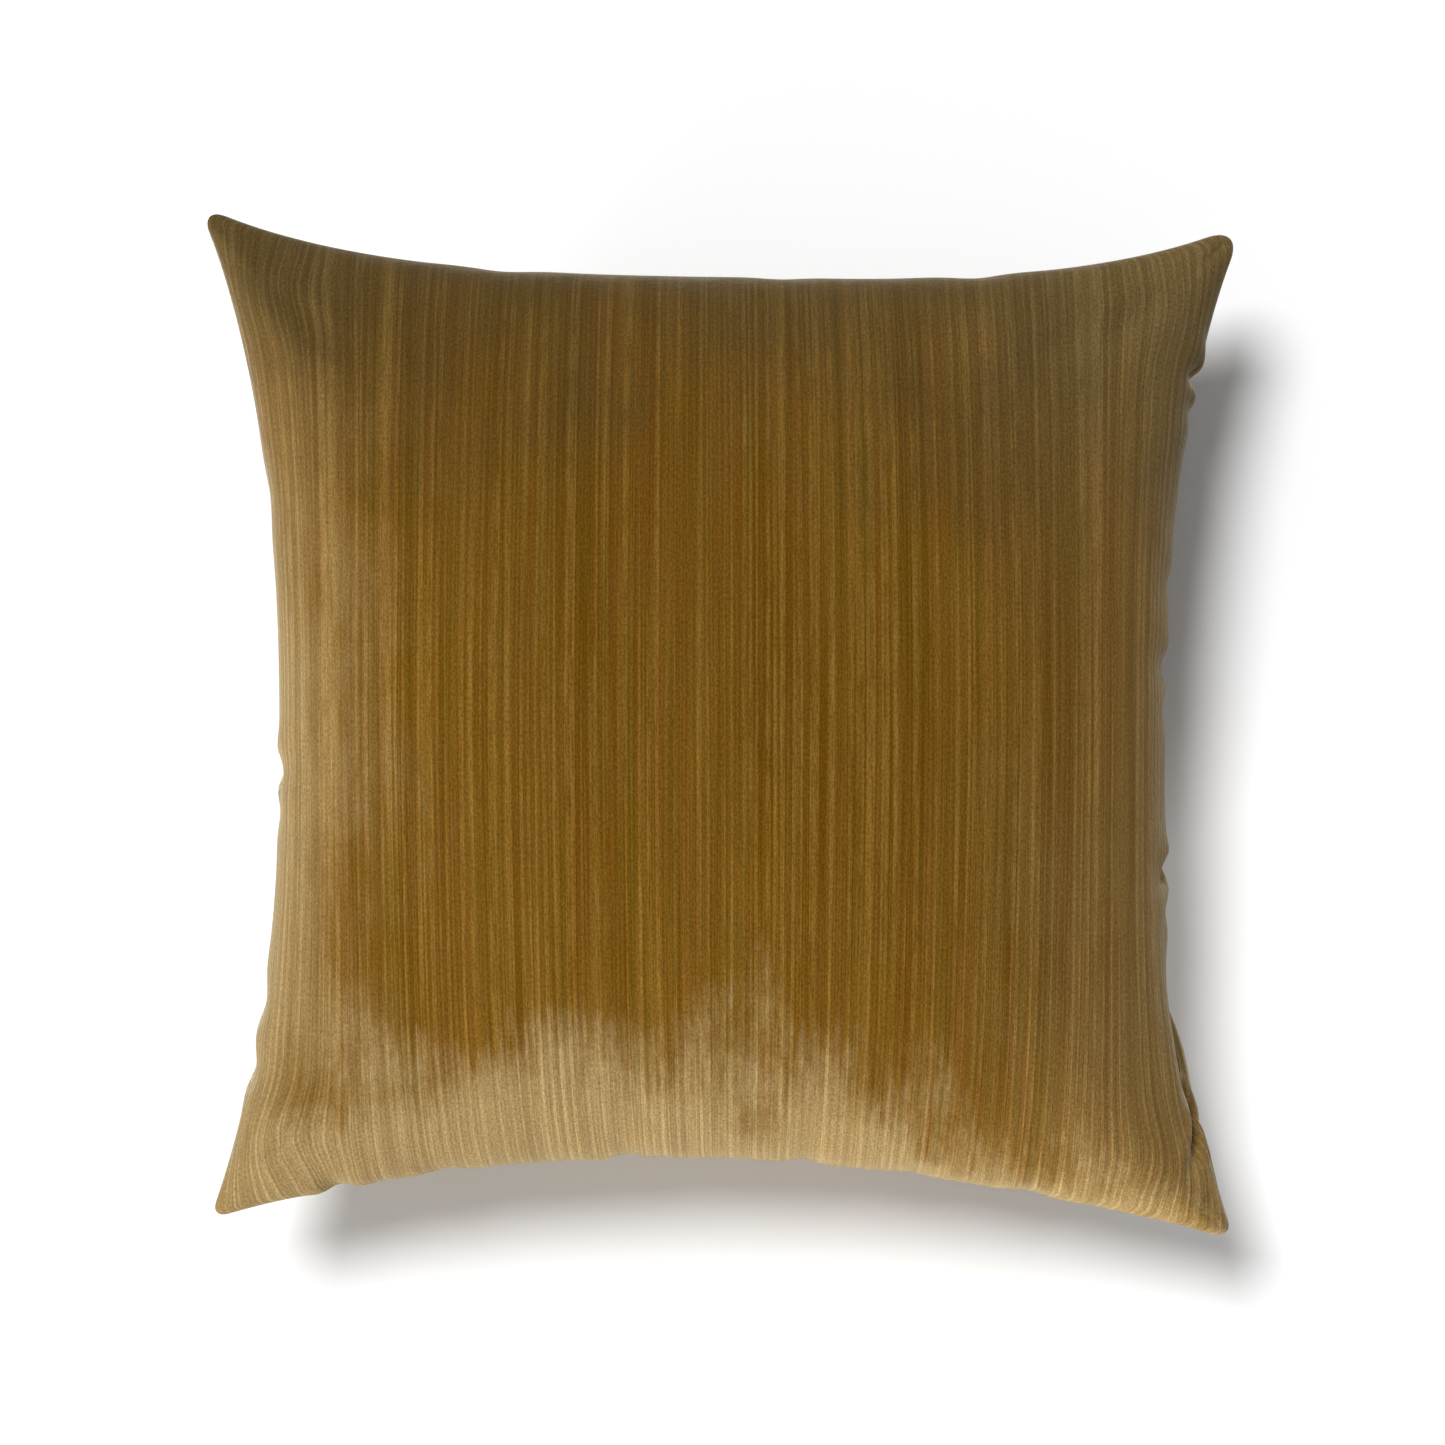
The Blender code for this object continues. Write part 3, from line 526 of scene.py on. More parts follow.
class Shades:
    """Short ways to lay out a material's nodes."""

    def __init__(self, name):
        self.material = bpy.data.materials.new(name)
        self.material.use_nodes = True
        self.tree = self.material.node_tree
        self.shader = self.tree.nodes["Principled BSDF"]

    def join(self, source, socket):
        """Links another node's output to a socket, or gives the socket a plain value."""
        if hasattr(source, "is_output"):
            self.tree.links.new(source, socket)
        else:
            socket.default_value = source

    def cut_place(self, across, along):
        """The place on the flat cut in millimetres, scaled differently across and along."""
        uv = self.tree.nodes.new("ShaderNodeUVMap")
        uv.uv_map = "cut"
        scale = self.tree.nodes.new("ShaderNodeMapping")
        scale.inputs["Scale"].default_value = (1000 * across, 1000 * along, 1)
        self.tree.links.new(uv.outputs["UV"], scale.inputs["Vector"])
        return scale.outputs["Vector"]

    def cut_across_along(self):
        """The place on the flat cut in millimetres, as two separate numbers."""
        place = self.tree.nodes.new("ShaderNodeSeparateXYZ")
        self.tree.links.new(self.cut_place(1, 1), place.inputs["Vector"])
        return place.outputs["X"], place.outputs["Y"]

    def solid_place(self, scale):
        """The place in space in metres, scaled alike in every direction."""
        place = self.tree.nodes.new("ShaderNodeTexCoord")
        mapping = self.tree.nodes.new("ShaderNodeMapping")
        mapping.inputs["Scale"].default_value = (scale, scale, scale)
        self.tree.links.new(place.outputs["Object"], mapping.inputs["Vector"])
        return mapping.outputs["Vector"]

    def noise(self, vector, detail=2.0, roughness=0.5, flat=True):
        """Soft random clouds from 0 to 1, their size set by the scale of the place."""
        node = self.tree.nodes.new("ShaderNodeTexNoise")
        node.noise_dimensions = "2D" if flat else "3D"
        node.inputs["Scale"].default_value = 1.0
        node.inputs["Detail"].default_value = detail
        node.inputs["Roughness"].default_value = roughness
        self.tree.links.new(vector, node.inputs["Vector"])
        return node.outputs["Fac"]

    def spread(self, value, low, high, to_low=0.0, to_high=1.0):
        """Turns the values between low and high into others, with a soft start and end."""
        node = self.tree.nodes.new("ShaderNodeMapRange")
        node.interpolation_type = "SMOOTHSTEP"
        self.join(value, node.inputs["Value"])
        node.inputs["From Min"].default_value = low
        node.inputs["From Max"].default_value = high
        node.inputs["To Min"].default_value = to_low
        node.inputs["To Max"].default_value = to_high
        return node.outputs["Result"]

    def maths(self, operation, first, second=0.0):
        node = self.tree.nodes.new("ShaderNodeMath")
        node.operation = operation
        self.join(first, node.inputs[0])
        self.join(second, node.inputs[1])
        return node.outputs[0]

    def blend(self, share, first, second, mode="MIX"):
        node = self.tree.nodes.new("ShaderNodeMix")
        node.data_type = "RGBA"
        node.blend_type = mode
        self.join(share, node.inputs["Factor"])
        self.join(first, node.inputs["A"])
        self.join(second, node.inputs["B"])
        return node.outputs["Result"]

    def bump(self, value, strength, distance, under=None):
        node = self.tree.nodes.new("ShaderNodeBump")
        node.inputs["Strength"].default_value = strength
        node.inputs["Distance"].default_value = distance
        self.tree.links.new(value, node.inputs["Height"])
        if under is not None:
            self.tree.links.new(under, node.inputs["Normal"])
        return node.outputs["Normal"]

    def set(self, **values):
        """Sets or links the shader's own inputs, named with _ for a space."""
        for name, value in values.items():
            self.join(value, self.shader.inputs[name.replace("_", " ")])


# Dyed warps; then pale colours that paint the pile's sheen, and dark ones that paint shade on it,
# each with its gold warps.
BRONZE = (0.098, 0.043, 0.0006, 1)
OLD_GOLD = (0.205, 0.112, 0.0180, 1)
RUSSET = (0.122, 0.042, 0.0040, 1)
OLIVE = (0.084, 0.051, 0.0020, 1)
SHEEN_PAINTED_PILE = (0.282, 0.201, 0.088, 1)
SHEEN_PAINTED_GOLD = (0.472, 0.361, 0.181, 1)
SHADE_PAINTED_PILE = (0.056, 0.035, 0.0098, 1)
SHADE_PAINTED_GOLD = (0.099, 0.063, 0.0204, 1)

# Where the painted sheen and painted shade lie, in millimetres: from where the cloth shows its own
# colour to where they are full.
SHADE_UP_FROM_FOOT = (330, 520)  # up from the foot
SHEEN_AT_FOOT = (128, 44)
SHEEN_IN_FROM_LEFT = (118, 0)  # in from the left seam
SHEEN_IN_FROM_RIGHT = (170, 20)  # in from the right seam
RIGHT_EDGE = 508.0


def strie_velvet():
    """Cut pile over dyed stripes: thin gold warps on bronze, with russet and olive ones between,
    all a little broken along the cloth. Painted sheen makes the pile pale at the left, the right
    and the foot of the pillow, and painted shade makes it dark at its head."""
    v = Shades("strie_velvet")
    warps = v.noise(v.cut_place(0.42, 0.0014), detail=0.6)
    threads = v.noise(v.cut_place(0.95, 0.006), detail=1.5)
    bands = v.noise(v.cut_place(0.11, 0.0015), detail=1.0)
    tints = v.noise(v.cut_place(0.21, 0.004), detail=1.0)
    broken = v.noise(v.cut_place(0.50, 0.050), detail=3.0, roughness=0.6)
    grain = v.noise(v.cut_place(1.00, 0.62), detail=2.0, roughness=0.65)
    mottle = v.noise(v.cut_place(0.22, 0.13), detail=3.0, roughness=0.65)
    crushed = v.noise(v.cut_place(0.034, 0.024), detail=4.0, roughness=0.58)
    swells = v.noise(v.cut_place(0.019, 0.012), detail=1.0)
    streaks = v.noise(v.cut_place(0.30, 0.030), detail=2.0)

    # The stripes: gold warps, broken along the cloth, over finer threads and broad soft bands.
    line = v.spread(warps, 0.51, 0.64)
    line = v.maths("MULTIPLY", line, v.spread(broken, 0.30, 0.62, 0.30, 1.0))
    light = v.maths("MULTIPLY", line, 0.50)
    light = v.maths("ADD", light, v.spread(threads, 0.35, 0.68, 0.0, 0.30))
    light = v.maths("ADD", light, v.spread(bands, 0.36, 0.64, -0.05, 0.13))
    colour = v.blend(light, BRONZE, OLD_GOLD)
    colour = v.blend(v.spread(tints, 0.54, 0.68, 0.0, 0.30), colour, RUSSET)
    colour = v.blend(v.spread(tints, 0.46, 0.32, 0.0, 0.30), colour, OLIVE)

    # Where the painted sheen and painted shade lie, with ragged limits between the parts.
    x, y = v.cut_across_along()
    ragged = v.maths("MULTIPLY", v.maths("SUBTRACT", swells, 0.5), 110.0)
    for rags, reach in ((crushed, 45.0), (streaks, 60.0), (mottle, 34.0)):
        ragged = v.maths("ADD", ragged, v.maths("MULTIPLY", v.maths("SUBTRACT", rags, 0.5), reach))
    further = v.maths("ADD", v.spread(x, 230, 480, 0, 58), v.spread(x, 150, 40, 0, 14))
    from_foot = v.maths("ADD", v.maths("ADD", y, ragged), further)
    from_left = v.maths("ADD", x, v.maths("MULTIPLY", ragged, 0.75))
    from_right = v.maths("SUBTRACT", x, RIGHT_EDGE)
    from_right = v.maths("SUBTRACT", v.maths("MULTIPLY", ragged, 0.5), from_right)
    painted_shade = v.spread(from_foot, *SHADE_UP_FROM_FOOT)
    sheen_at_left = v.spread(from_left, *SHEEN_IN_FROM_LEFT, 0.0, 0.75)
    sheen_at_left = v.maths("MULTIPLY", sheen_at_left, v.spread(y, 240, 470, 1.0, 0.18))
    sheen_at_right = v.spread(from_right, *SHEEN_IN_FROM_RIGHT)
    sheen_at_right = v.maths("MULTIPLY", sheen_at_right, v.spread(y, 250, 150, 0.22, 0.40))
    painted_sheen = v.maths("MAXIMUM", v.spread(from_foot, *SHEEN_AT_FOOT, 0.0, 0.92), sheen_at_left)
    painted_sheen = v.maths("MAXIMUM", painted_sheen, sheen_at_right)
    # Painted shade over the head, then painted sheen over the foot and both sides.
    shade_copy = v.blend(light, SHADE_PAINTED_PILE, SHADE_PAINTED_GOLD)
    colour = v.blend(v.maths("MULTIPLY", painted_shade, 0.92), colour, shade_copy)
    sheen_copy = v.blend(light, SHEEN_PAINTED_PILE, SHEEN_PAINTED_GOLD)
    colour = v.blend(v.maths("MULTIPLY", painted_sheen, 0.66), colour, sheen_copy)

    # Tufts lighter and darker than their neighbours, and painted light that makes the whole a
    # little paler to the right.
    pile = v.spread(grain, 0.25, 0.75, 0.76, 1.22)
    # Painted light: the colour grows paler towards the right side.
    pile = v.maths("MULTIPLY", pile, v.spread(x, 60, 470, 0.93, 1.12))
    shade = v.tree.nodes.new("ShaderNodeCombineColor")
    for channel in ("Red", "Green", "Blue"):
        v.tree.links.new(pile, shade.inputs[channel])
    colour = v.blend(1.0, colour, shade.outputs["Color"], "MULTIPLY")
    v.set(Base_Color=colour, Roughness=v.spread(crushed, 0.3, 0.7, 0.70, 0.95))
    v.set(Specular_IOR_Level=0.04, Sheen_Weight=0.60, Sheen_Roughness=0.27)
    v.set(Sheen_Tint=(1.0, 0.94, 0.72, 1.0))
    ribs = v.bump(light, 0.40, 0.0006)
    crush = v.bump(crushed, 0.30, 0.005, ribs)
    v.set(Normal=v.bump(grain, 0.40, 0.0004, crush))
    return v.material


def placed(obj, body, node, material):
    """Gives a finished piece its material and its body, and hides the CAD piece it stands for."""
    obj.data.materials.append(material)
    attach(obj, body)
    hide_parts(node)
    return obj


velvet = strie_velvet()
front = placed(sewn_panel("velvet_front", 1), "cover", "front_panel", velvet)
back = placed(sewn_panel("velvet_back", -1), "cover", "back_panel", velvet)


# --- Cover threads: seam and overlocking ----------------------------------------------------------
# The two panels are joined by a lockstitch in doubled gold polyester, 3 mm in from the fold, that
# leaves the zip's length open; each raw edge is bound with overlocked loops so it can't fray.

THREAD = 0.00024
SEAM_INBOARD = 0.0032
SEAM_RISE = 0.00156
SEAM_DIP = 0.00012
STITCH = 0.0028
STITCH_GAP = 0.0005
STITCH_SHAPE = np.array([0.0, 0.14, 0.5, 0.86, 1.0])
OPENING = 0.2010
OVERLOCK_INBOARD = 0.0112
OVERLOCK_EDGES = (0.0100, 0.0124)
OVERLOCK_RISE = 0.00128
LOOP_PITCH = 0.0026
LOOP_REACH = 0.0017
LOOP_HEIGHT = 0.00080
LOOP_WIRE = 0.00016
LOOP_POINTS = 10


def spun_thread(name, colour):
    """Glossy two-ply polyester: a twist along the thread and a few fuzzy fibres."""
    v = Shades(name)
    twist = v.noise(v.solid_place(900.0), detail=2.0, flat=False)
    fleck = v.noise(v.solid_place(160.0), detail=1.0, flat=False)
    dark = tuple(channel * 0.62 for channel in colour[:3]) + (1,)
    v.set(Base_Color=v.blend(v.spread(fleck, 0.3, 0.7), dark, colour), Roughness=0.48)
    v.set(Sheen_Weight=0.35, Sheen_Roughness=0.4, Normal=v.bump(twist, 0.7, 0.00012))
    return v.material


def strand(name, runs, radius):
    """One piece made of thread or wire: each run of points becomes a round strand."""
    curve = bpy.data.curves.new(name, "CURVE")
    curve.dimensions = "3D"
    curve.bevel_depth = radius
    curve.bevel_resolution = 1
    curve.use_fill_caps = True
    for points in runs:
        spline = curve.splines.new("POLY")
        spline.points.add(len(points) - 1)
        four = np.concatenate([points, np.ones((len(points), 1))], axis=1)
        spline.points.foreach_set("co", four.reshape(-1).astype(np.float32))
        spline.use_smooth = True
    obj = bpy.data.objects.new(name, curve)
    bpy.context.scene.collection.objects.link(obj)
    return obj


def lengths(path):
    """Distance run along a path at each of its points."""
    return np.concatenate([[0], np.cumsum(np.linalg.norm(np.diff(path, axis=0), axis=1))])


def along(path, distances):
    """Points at given distances along a path."""
    run = lengths(path)
    return np.stack([np.interp(distances, run, path[:, axis]) for axis in range(3)], axis=-1)


def stitches(path, pitch, gap, dip):
    """Separate stitches along a path, each with its two ends dipping into the cloth."""
    total = lengths(path)[-1]
    runs = []
    for start in np.arange(gap, total - pitch, pitch):
        points = along(path, start + (pitch - gap) * STITCH_SHAPE)
        points[[0, -1], 2] -= dip
        runs.append(points)
    return runs


def past_the_zip(ring):
    """A ring round the cover, cut open where the zip is."""
    foot = PANEL_CELLS
    right = next(k for k in range(foot) if ring[k, 0] > OPENING)
    left = max(k for k in range(foot) if ring[k, 0] < -OPENING)
    return np.concatenate([ring[right:], ring[:left + 1]])


gold_thread = spun_thread("gold_polyester_thread", (0.235, 0.135, 0.030, 1))
for name, node, side in (
    ("seam_top_stitches", "seam_needle_thread", 1),
    ("seam_under_stitches", "seam_bobbin_thread", -1),
):
    line = past_the_zip(seam_ring(side, SEAM_INBOARD, SEAM_RISE))
    runs = stitches(line, STITCH, STITCH_GAP, side * SEAM_DIP)
    placed(strand(name, runs, THREAD), "cover", node, gold_thread)

for name, node, side in (
    ("overlock_front", "overlock_thread_front", 1),
    ("overlock_back", "overlock_thread_back", -1),
):
    middle = seam_ring(side, OVERLOCK_INBOARD, OVERLOCK_RISE)
    outer, inner = (seam_ring(side, inboard, OVERLOCK_RISE) for inboard in OVERLOCK_EDGES)
    inwards = inner - outer
    inwards /= np.linalg.norm(inwards, axis=1, keepdims=True)
    run = lengths(middle)
    steps = np.arange(0, run[-1], LOOP_PITCH / LOOP_POINTS)
    turn = 2 * math.pi * steps / LOOP_PITCH
    reach = np.stack([np.interp(steps, run, inwards[:, axis]) for axis in range(3)], axis=-1)
    loops = along(middle, steps) + reach * (LOOP_REACH * np.cos(turn))[:, None]
    loops[:, 2] += LOOP_HEIGHT * np.sin(turn)
    placed(strand(name, [loops], LOOP_WIRE), "cover", node, gold_thread)


# --- Zip: tapes, coils and their stitching --------------------------------------------------------
# A no. 3 concealed coil zip lies in the foot seam. Two woven polyester tapes are folded back along
# the seam allowances and topstitched to them. A nylon monofilament is coiled on each tape's edge,
# and the two coils' flattened loops lock into each other.

ZIP_CENTRE = (-0.016301, -1.085002)  # of the arc that the stuffing bends the foot seam to
COIL_BACK = 0.0065
ZIP_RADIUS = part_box("zip_coil_front")[1].y - ZIP_CENTRE[1] - COIL_BACK
CHAIN_ENDS = (-0.17790, 0.17805)
TAPE_ENDS = (-0.1878, 0.1884)
COIL_PITCH = 0.00130
COIL_WIRE = 0.00024
COIL_INBOARD, COIL_REACH = 0.00560, 0.00062
COIL_RISE, COIL_HEIGHT = 0.00118, 0.00131
COIL_POINTS = 12  # to a turn
COIL_BLUNTNESS = 0.62
FIRST_TURN = 0.3  # where the coils start, in turns past the chain's end
TAPE_THICK = 0.00046
TAPE_ORIGIN = 0.3  # keeps the places along a tape's weave above nought
TAPE_STITCH_INBOARD = 0.0100
TAPE_STITCH_RISE = 0.00662
TAPE_STITCH_DIP = 0.00010
TAPE_STITCH_END = 0.002  # the angle left unsewn at each end of a tape
HERRINGBONE_MM = 1.6
TWILL_MM = 0.75
PICK_MM = 0.40
# A tape's section: how far back from the knife edge, and how far off the seam, in millimetres.
TAPE_FOLD = [(7.05, 0.95), (7.05, 1.8), (7.05, 2.7), (7.06, 3.35), (7.14, 3.72), (7.35, 3.96),
             (7.75, 4.05), (9.5, 4.05), (12.0, 4.05), (14.5, 4.05), (16.8, 4.05), (17.6, 4.05)]


def on_zip(angle, inboard, height):
    """A place on the zip: turned about its arc, set back from the knife edge, above the seam."""
    reach = ZIP_RADIUS + inboard
    x = ZIP_CENTRE[0] + reach * np.sin(angle)
    y = ZIP_CENTRE[1] + reach * np.cos(angle)
    return np.stack([x, y, SEAM_Z + height + np.zeros_like(x)], axis=-1)


def zip_angle(x):
    """How far round the zip's arc a place across the pillow is."""
    return math.asin((x - ZIP_CENTRE[0]) / ZIP_RADIUS)


def squared(value):
    """Flattens a round turn into a coil's blunt loop."""
    return np.sign(value) * np.abs(value) ** COIL_BLUNTNESS


def woven_tape():
    """Polyester tape in a fine herringbone twill, with a thicker cord along each side."""
    v = Shades("woven_polyester_tape")
    along_mm, across_mm = v.cut_across_along()
    zigzag = v.maths("ADD", along_mm, v.maths("PINGPONG", across_mm, HERRINGBONE_MM))
    twill = v.maths("SINE", v.maths("MULTIPLY", zigzag, 2 * math.pi / TWILL_MM))
    picks = v.maths("SINE", v.maths("MULTIPLY", across_mm, 2 * math.pi / PICK_MM))
    weave = v.maths("ADD", v.maths("MULTIPLY", twill, 0.34), v.maths("MULTIPLY", picks, 0.16))
    weave = v.maths("ADD", weave, 0.5)
    colour = v.blend(v.spread(weave, 0.0, 1.0), (0.105, 0.060, 0.014, 1), (0.255, 0.160, 0.048, 1))
    v.set(Base_Color=colour, Roughness=0.62, Normal=v.bump(weave, 0.6, 0.00012))
    v.set(Sheen_Weight=0.25, Sheen_Roughness=0.45)
    return v.material


def coil_nylon():
    """Dyed nylon monofilament: satin, a little see-through, with faint drawing marks."""
    v = Shades("coiled_nylon")
    marks = v.noise(v.solid_place(700.0), detail=2.0, flat=False)
    colour = v.blend(v.spread(marks, 0.3, 0.7), (0.185, 0.105, 0.024, 1), (0.270, 0.168, 0.052, 1))
    v.set(Base_Color=colour, Roughness=v.spread(marks, 0.3, 0.7, 0.24, 0.38))
    v.set(Subsurface_Weight=0.15, IOR=1.53, Normal=v.bump(marks, 0.15, 0.00005))
    v.shader.inputs["Subsurface Radius"].default_value = (0.0010, 0.0007, 0.0004)
    return v.material


tape_cloth = woven_tape()
nylon = coil_nylon()
fold = np.array(TAPE_FOLD) / 1000
across = np.concatenate([[0], np.cumsum(np.linalg.norm(np.diff(fold, axis=0), axis=1))])
for half, side in (("front", 1), ("back", -1)):
    angles = np.linspace(zip_angle(TAPE_ENDS[0]), zip_angle(TAPE_ENDS[1]), 260)
    rows = np.stack([on_zip(angles, inboard, side * rise) for inboard, rise in fold])
    faces = quads(len(fold), len(angles))
    tape = mesh_object("tape_" + half, rows, faces if side > 0 else faces[:, ::-1])
    flat_x, flat_y = np.meshgrid(angles * ZIP_RADIUS + TAPE_ORIGIN, across)
    mark_cut(tape, np.stack([flat_x, flat_y], axis=-1).reshape(-1, 2))
    made_thick(tape, TAPE_THICK)
    placed(tape, "cover", "zip_tape_" + half, tape_cloth)

    start = zip_angle(CHAIN_ENDS[0])
    turns = int((zip_angle(CHAIN_ENDS[1]) - start) * ZIP_RADIUS / COIL_PITCH) - 1
    count = np.arange(turns * COIL_POINTS + 1) / COIL_POINTS
    lag = 0.0 if side > 0 else 0.5  # the back's loops lie between the front's
    angles = start + (count + lag + FIRST_TURN) * COIL_PITCH / ZIP_RADIUS
    turn = 2 * math.pi * count
    inboard = COIL_INBOARD + COIL_REACH * squared(np.sin(turn))
    rise = COIL_RISE + COIL_HEIGHT * squared(np.cos(turn))
    coil = strand("coil_" + half, [on_zip(angles, inboard, side * rise)], COIL_WIRE)
    placed(coil, "cover", "zip_coil_" + half, nylon)

    angles = np.linspace(zip_angle(TAPE_ENDS[0]) + TAPE_STITCH_END,
                         zip_angle(TAPE_ENDS[1]) - TAPE_STITCH_END, 300)
    line = on_zip(angles, TAPE_STITCH_INBOARD, side * TAPE_STITCH_RISE)
    runs = stitches(line, STITCH, STITCH_GAP, side * TAPE_STITCH_DIP)
    placed(strand("tape_stitches_" + half, runs, THREAD), "cover", "zip_stitch_" + half,
           gold_thread)


# --- Zip: slider, pull and stops ------------------------------------------------------------------
# Die-cast zinc in antique brass plate: the slider runs on the closed coils, its pull turns on the
# slider's lugs, and crimped stops end the chain. Their shapes are the frame's own, edges softened.


def antique_brass():
    """Brass plate rubbed back to yellow in soft patches, browner between, finely scratched."""
    v = Shades("antique_brass_plate")
    cloud = v.noise(v.solid_place(420.0), detail=4.0, flat=False)
    scratch = v.noise(v.solid_place(1500.0), detail=2.0, flat=False)
    rubbed = v.spread(cloud, 0.25, 0.75)
    colour = v.blend(rubbed, (0.345, 0.236, 0.100, 1), (0.430, 0.300, 0.130, 1))
    v.set(Base_Color=colour, Metallic=1.0, Roughness=v.spread(scratch, 0.3, 0.7, 0.24, 0.46))
    v.set(Normal=v.bump(cloud, 0.12, 0.00004))
    return v.material


brass = antique_brass()
EDGE_SOFTNESS = 0.00022
STOPS = ("zip_top_stop_front", "zip_top_stop_back", "zip_bottom_stop")
for name in ("zip_slider", "zip_pull") + STOPS:
    metal = nodes[name]
    for place in metal.material_slots:
        place.material = brass
    worn = metal.modifiers.new("worn_edges", "BEVEL")
    worn.width = EDGE_SOFTNESS
    worn.segments = 3
    worn.limit_method = "ANGLE"
    worn.angle_limit = math.radians(35)


# --- Insert: calico casing, threads and filling ---------------------------------------------------
# A plain bag of unbleached calico, seamed inside out and stuffed with polyester fibre, its last
# gap closed by hand at the foot. It follows the cover from inside and stops short of its seams.

CALICO = 0.00040
CASING_CUT = 0.4800
CASING_INBOARD = 0.0205
CASING_DEPTH = 0.0034
CASING_CELLS = 72
CASING_SEAM = 0.0009
CASING_FOLD = [(0.0005, 0.00050), (0.0020, 0.00046), (0.0050, 0.00046), (0.0080, 0.00048)]
CASING_WRINKLE, CASING_WRINKLE_LENGTH = 0.0005, 0.070
CALICO_THREADS_MM = 0.90
CALICO_GAP = 0.0004
RESTING = CLOTH + CALICO / 2 + CALICO_GAP
INSERT_SEAM_RISE = 0.00095
INSERT_SEAM_INBOARD = 0.0024
INSERT_STITCH, INSERT_STITCH_GAP = 0.0030, 0.0006
CLOSING_REACH = 0.0465
CLOSING_INBOARD = 0.0014
CLOSING_STITCH, CLOSING_STITCH_GAP = 0.0042, 0.0012
CLOSING_SLANT = 0.0011
INSERT_DIP = 0.00010
FILLING_INBOARD = 0.0365
FILLING_DEPTH = 0.0062
FILLING_CLEAR = 0.0020
FILLING_WRINKLE, FILLING_WRINKLE_LENGTH = 0.0009, 0.045
FILLING_JOIN = 0.00002


def map_share(inboard):
    """The share of the cover's map that ends this far inside its right edge."""
    share = np.linspace(0.5, 1.0, 2001)
    edge, _ = plan(np.ones(1), np.zeros(1))
    x, _ = plan(share, np.zeros_like(share))
    return float(np.interp(-inboard, x - edge[0], share))


def rumple(x, y, size):
    """A gentle unevenness, the same every time: waves of three lengths laid across each other."""
    k = 2 * math.pi / size
    first = np.sin(k * x + 1.7 * np.sin(0.6 * k * y)) * np.sin(0.83 * k * y + 0.9)
    second = np.sin(1.9 * k * y + 1.1 * np.sin(1.3 * k * x) + 2.0)
    return 0.62 * first + 0.38 * second * np.sin(1.55 * k * x + 0.4)


def inner_form(side, share, depth, seam_rise, lowest, wrinkle, size):
    """A layer of the insert: it follows the cover at a depth and closes at its own seam."""
    s, t = cloth_grid(CASING_CELLS)
    base = formed(side, share * s, share * t)
    x, y = plan(share * s, share * t)
    uneven = wrinkle * (1 + rumple(base[..., 0], base[..., 1], size))
    inside = base - outward(base, side) * (depth + uneven)[..., None]
    if side < 0:
        inside[..., 2] = np.maximum(inside[..., 2], lowest)
    closing = np.sqrt(np.clip(1 - s ** 8, 0, 1) * np.clip(1 - t ** 8, 0, 1))
    out = np.empty_like(inside)
    out[..., 0] = x + (inside[..., 0] - x) * closing
    out[..., 1] = y + (inside[..., 1] - y) * closing
    level = seam_rise + (np.abs(inside[..., 2] - SEAM_Z) - seam_rise) * closing
    out[..., 2] = SEAM_Z + side * level
    return out, s, t


def insert_ring(side, share, inboard, rise):
    """The casing's seam line moved inwards and lifted off the seam's plane."""
    steps = cloth_grid(CASING_CELLS)[0][0]
    last = np.ones(CASING_CELLS)
    u = np.concatenate([steps[:-1], last, steps[:0:-1], -last])
    v = np.concatenate([-last, steps[:-1], last, steps[:0:-1]])
    x, y = plan(share * u, share * v)
    shrink_x = 1 - inboard / np.abs(x).max()
    shrink_y = 1 - inboard / np.abs(y).max()
    return np.stack([x * shrink_x, y * shrink_y, np.full_like(x, SEAM_Z + side * rise)], axis=-1)


def calico():
    """Unbleached cotton in plain weave, with slubs and dark seed flecks."""
    v = Shades("unbleached_calico")
    across_mm, along_mm = v.cut_across_along()
    warp = v.maths("SINE", v.maths("MULTIPLY", across_mm, 2 * math.pi / CALICO_THREADS_MM))
    weft = v.maths("SINE", v.maths("MULTIPLY", along_mm, 2 * math.pi / CALICO_THREADS_MM))
    weave = v.maths("MULTIPLY", warp, weft)
    slub = v.noise(v.cut_place(0.06, 1.3), detail=2.0)
    creased = v.noise(v.cut_place(0.020, 0.016), detail=4.0)
    seed = v.noise(v.cut_place(0.55, 0.50), detail=1.0)
    cream = v.blend(v.spread(slub, 0.35, 0.65), (0.600, 0.540, 0.430, 1), (0.720, 0.665, 0.560, 1))
    cream = v.blend(v.spread(weave, -1.0, 1.0, 0.20, 0.0), cream, (0.420, 0.360, 0.270, 1))
    cream = v.blend(v.spread(seed, 0.74, 0.78, 0.0, 0.55), cream, (0.250, 0.160, 0.080, 1))
    threads = v.bump(weave, 0.5, 0.00010)
    v.set(Base_Color=cream, Roughness=0.88, Normal=v.bump(creased, 0.5, 0.004, threads))
    v.set(Sheen_Weight=0.2, Sheen_Roughness=0.6)
    return v.material


def hollow_fibre():
    """Siliconised polyester staple: white, springy and matted in every direction."""
    v = Shades("polyester_fibre")
    clump = v.noise(v.solid_place(60.0), detail=5.0, roughness=0.6, flat=False)
    strands = v.noise(v.solid_place(420.0), detail=6.0, roughness=0.7, flat=False)
    white = v.blend(v.spread(clump, 0.3, 0.7), (0.690, 0.700, 0.710, 1), (0.860, 0.865, 0.860, 1))
    lumps = v.bump(clump, 0.8, 0.004)
    v.set(Base_Color=white, Roughness=0.95, Normal=v.bump(strands, 0.9, 0.0008, lumps))
    v.set(Sheen_Weight=0.6, Sheen_Roughness=0.5, Subsurface_Weight=0.2)
    v.shader.inputs["Subsurface Radius"].default_value = (0.006, 0.006, 0.006)
    return v.material


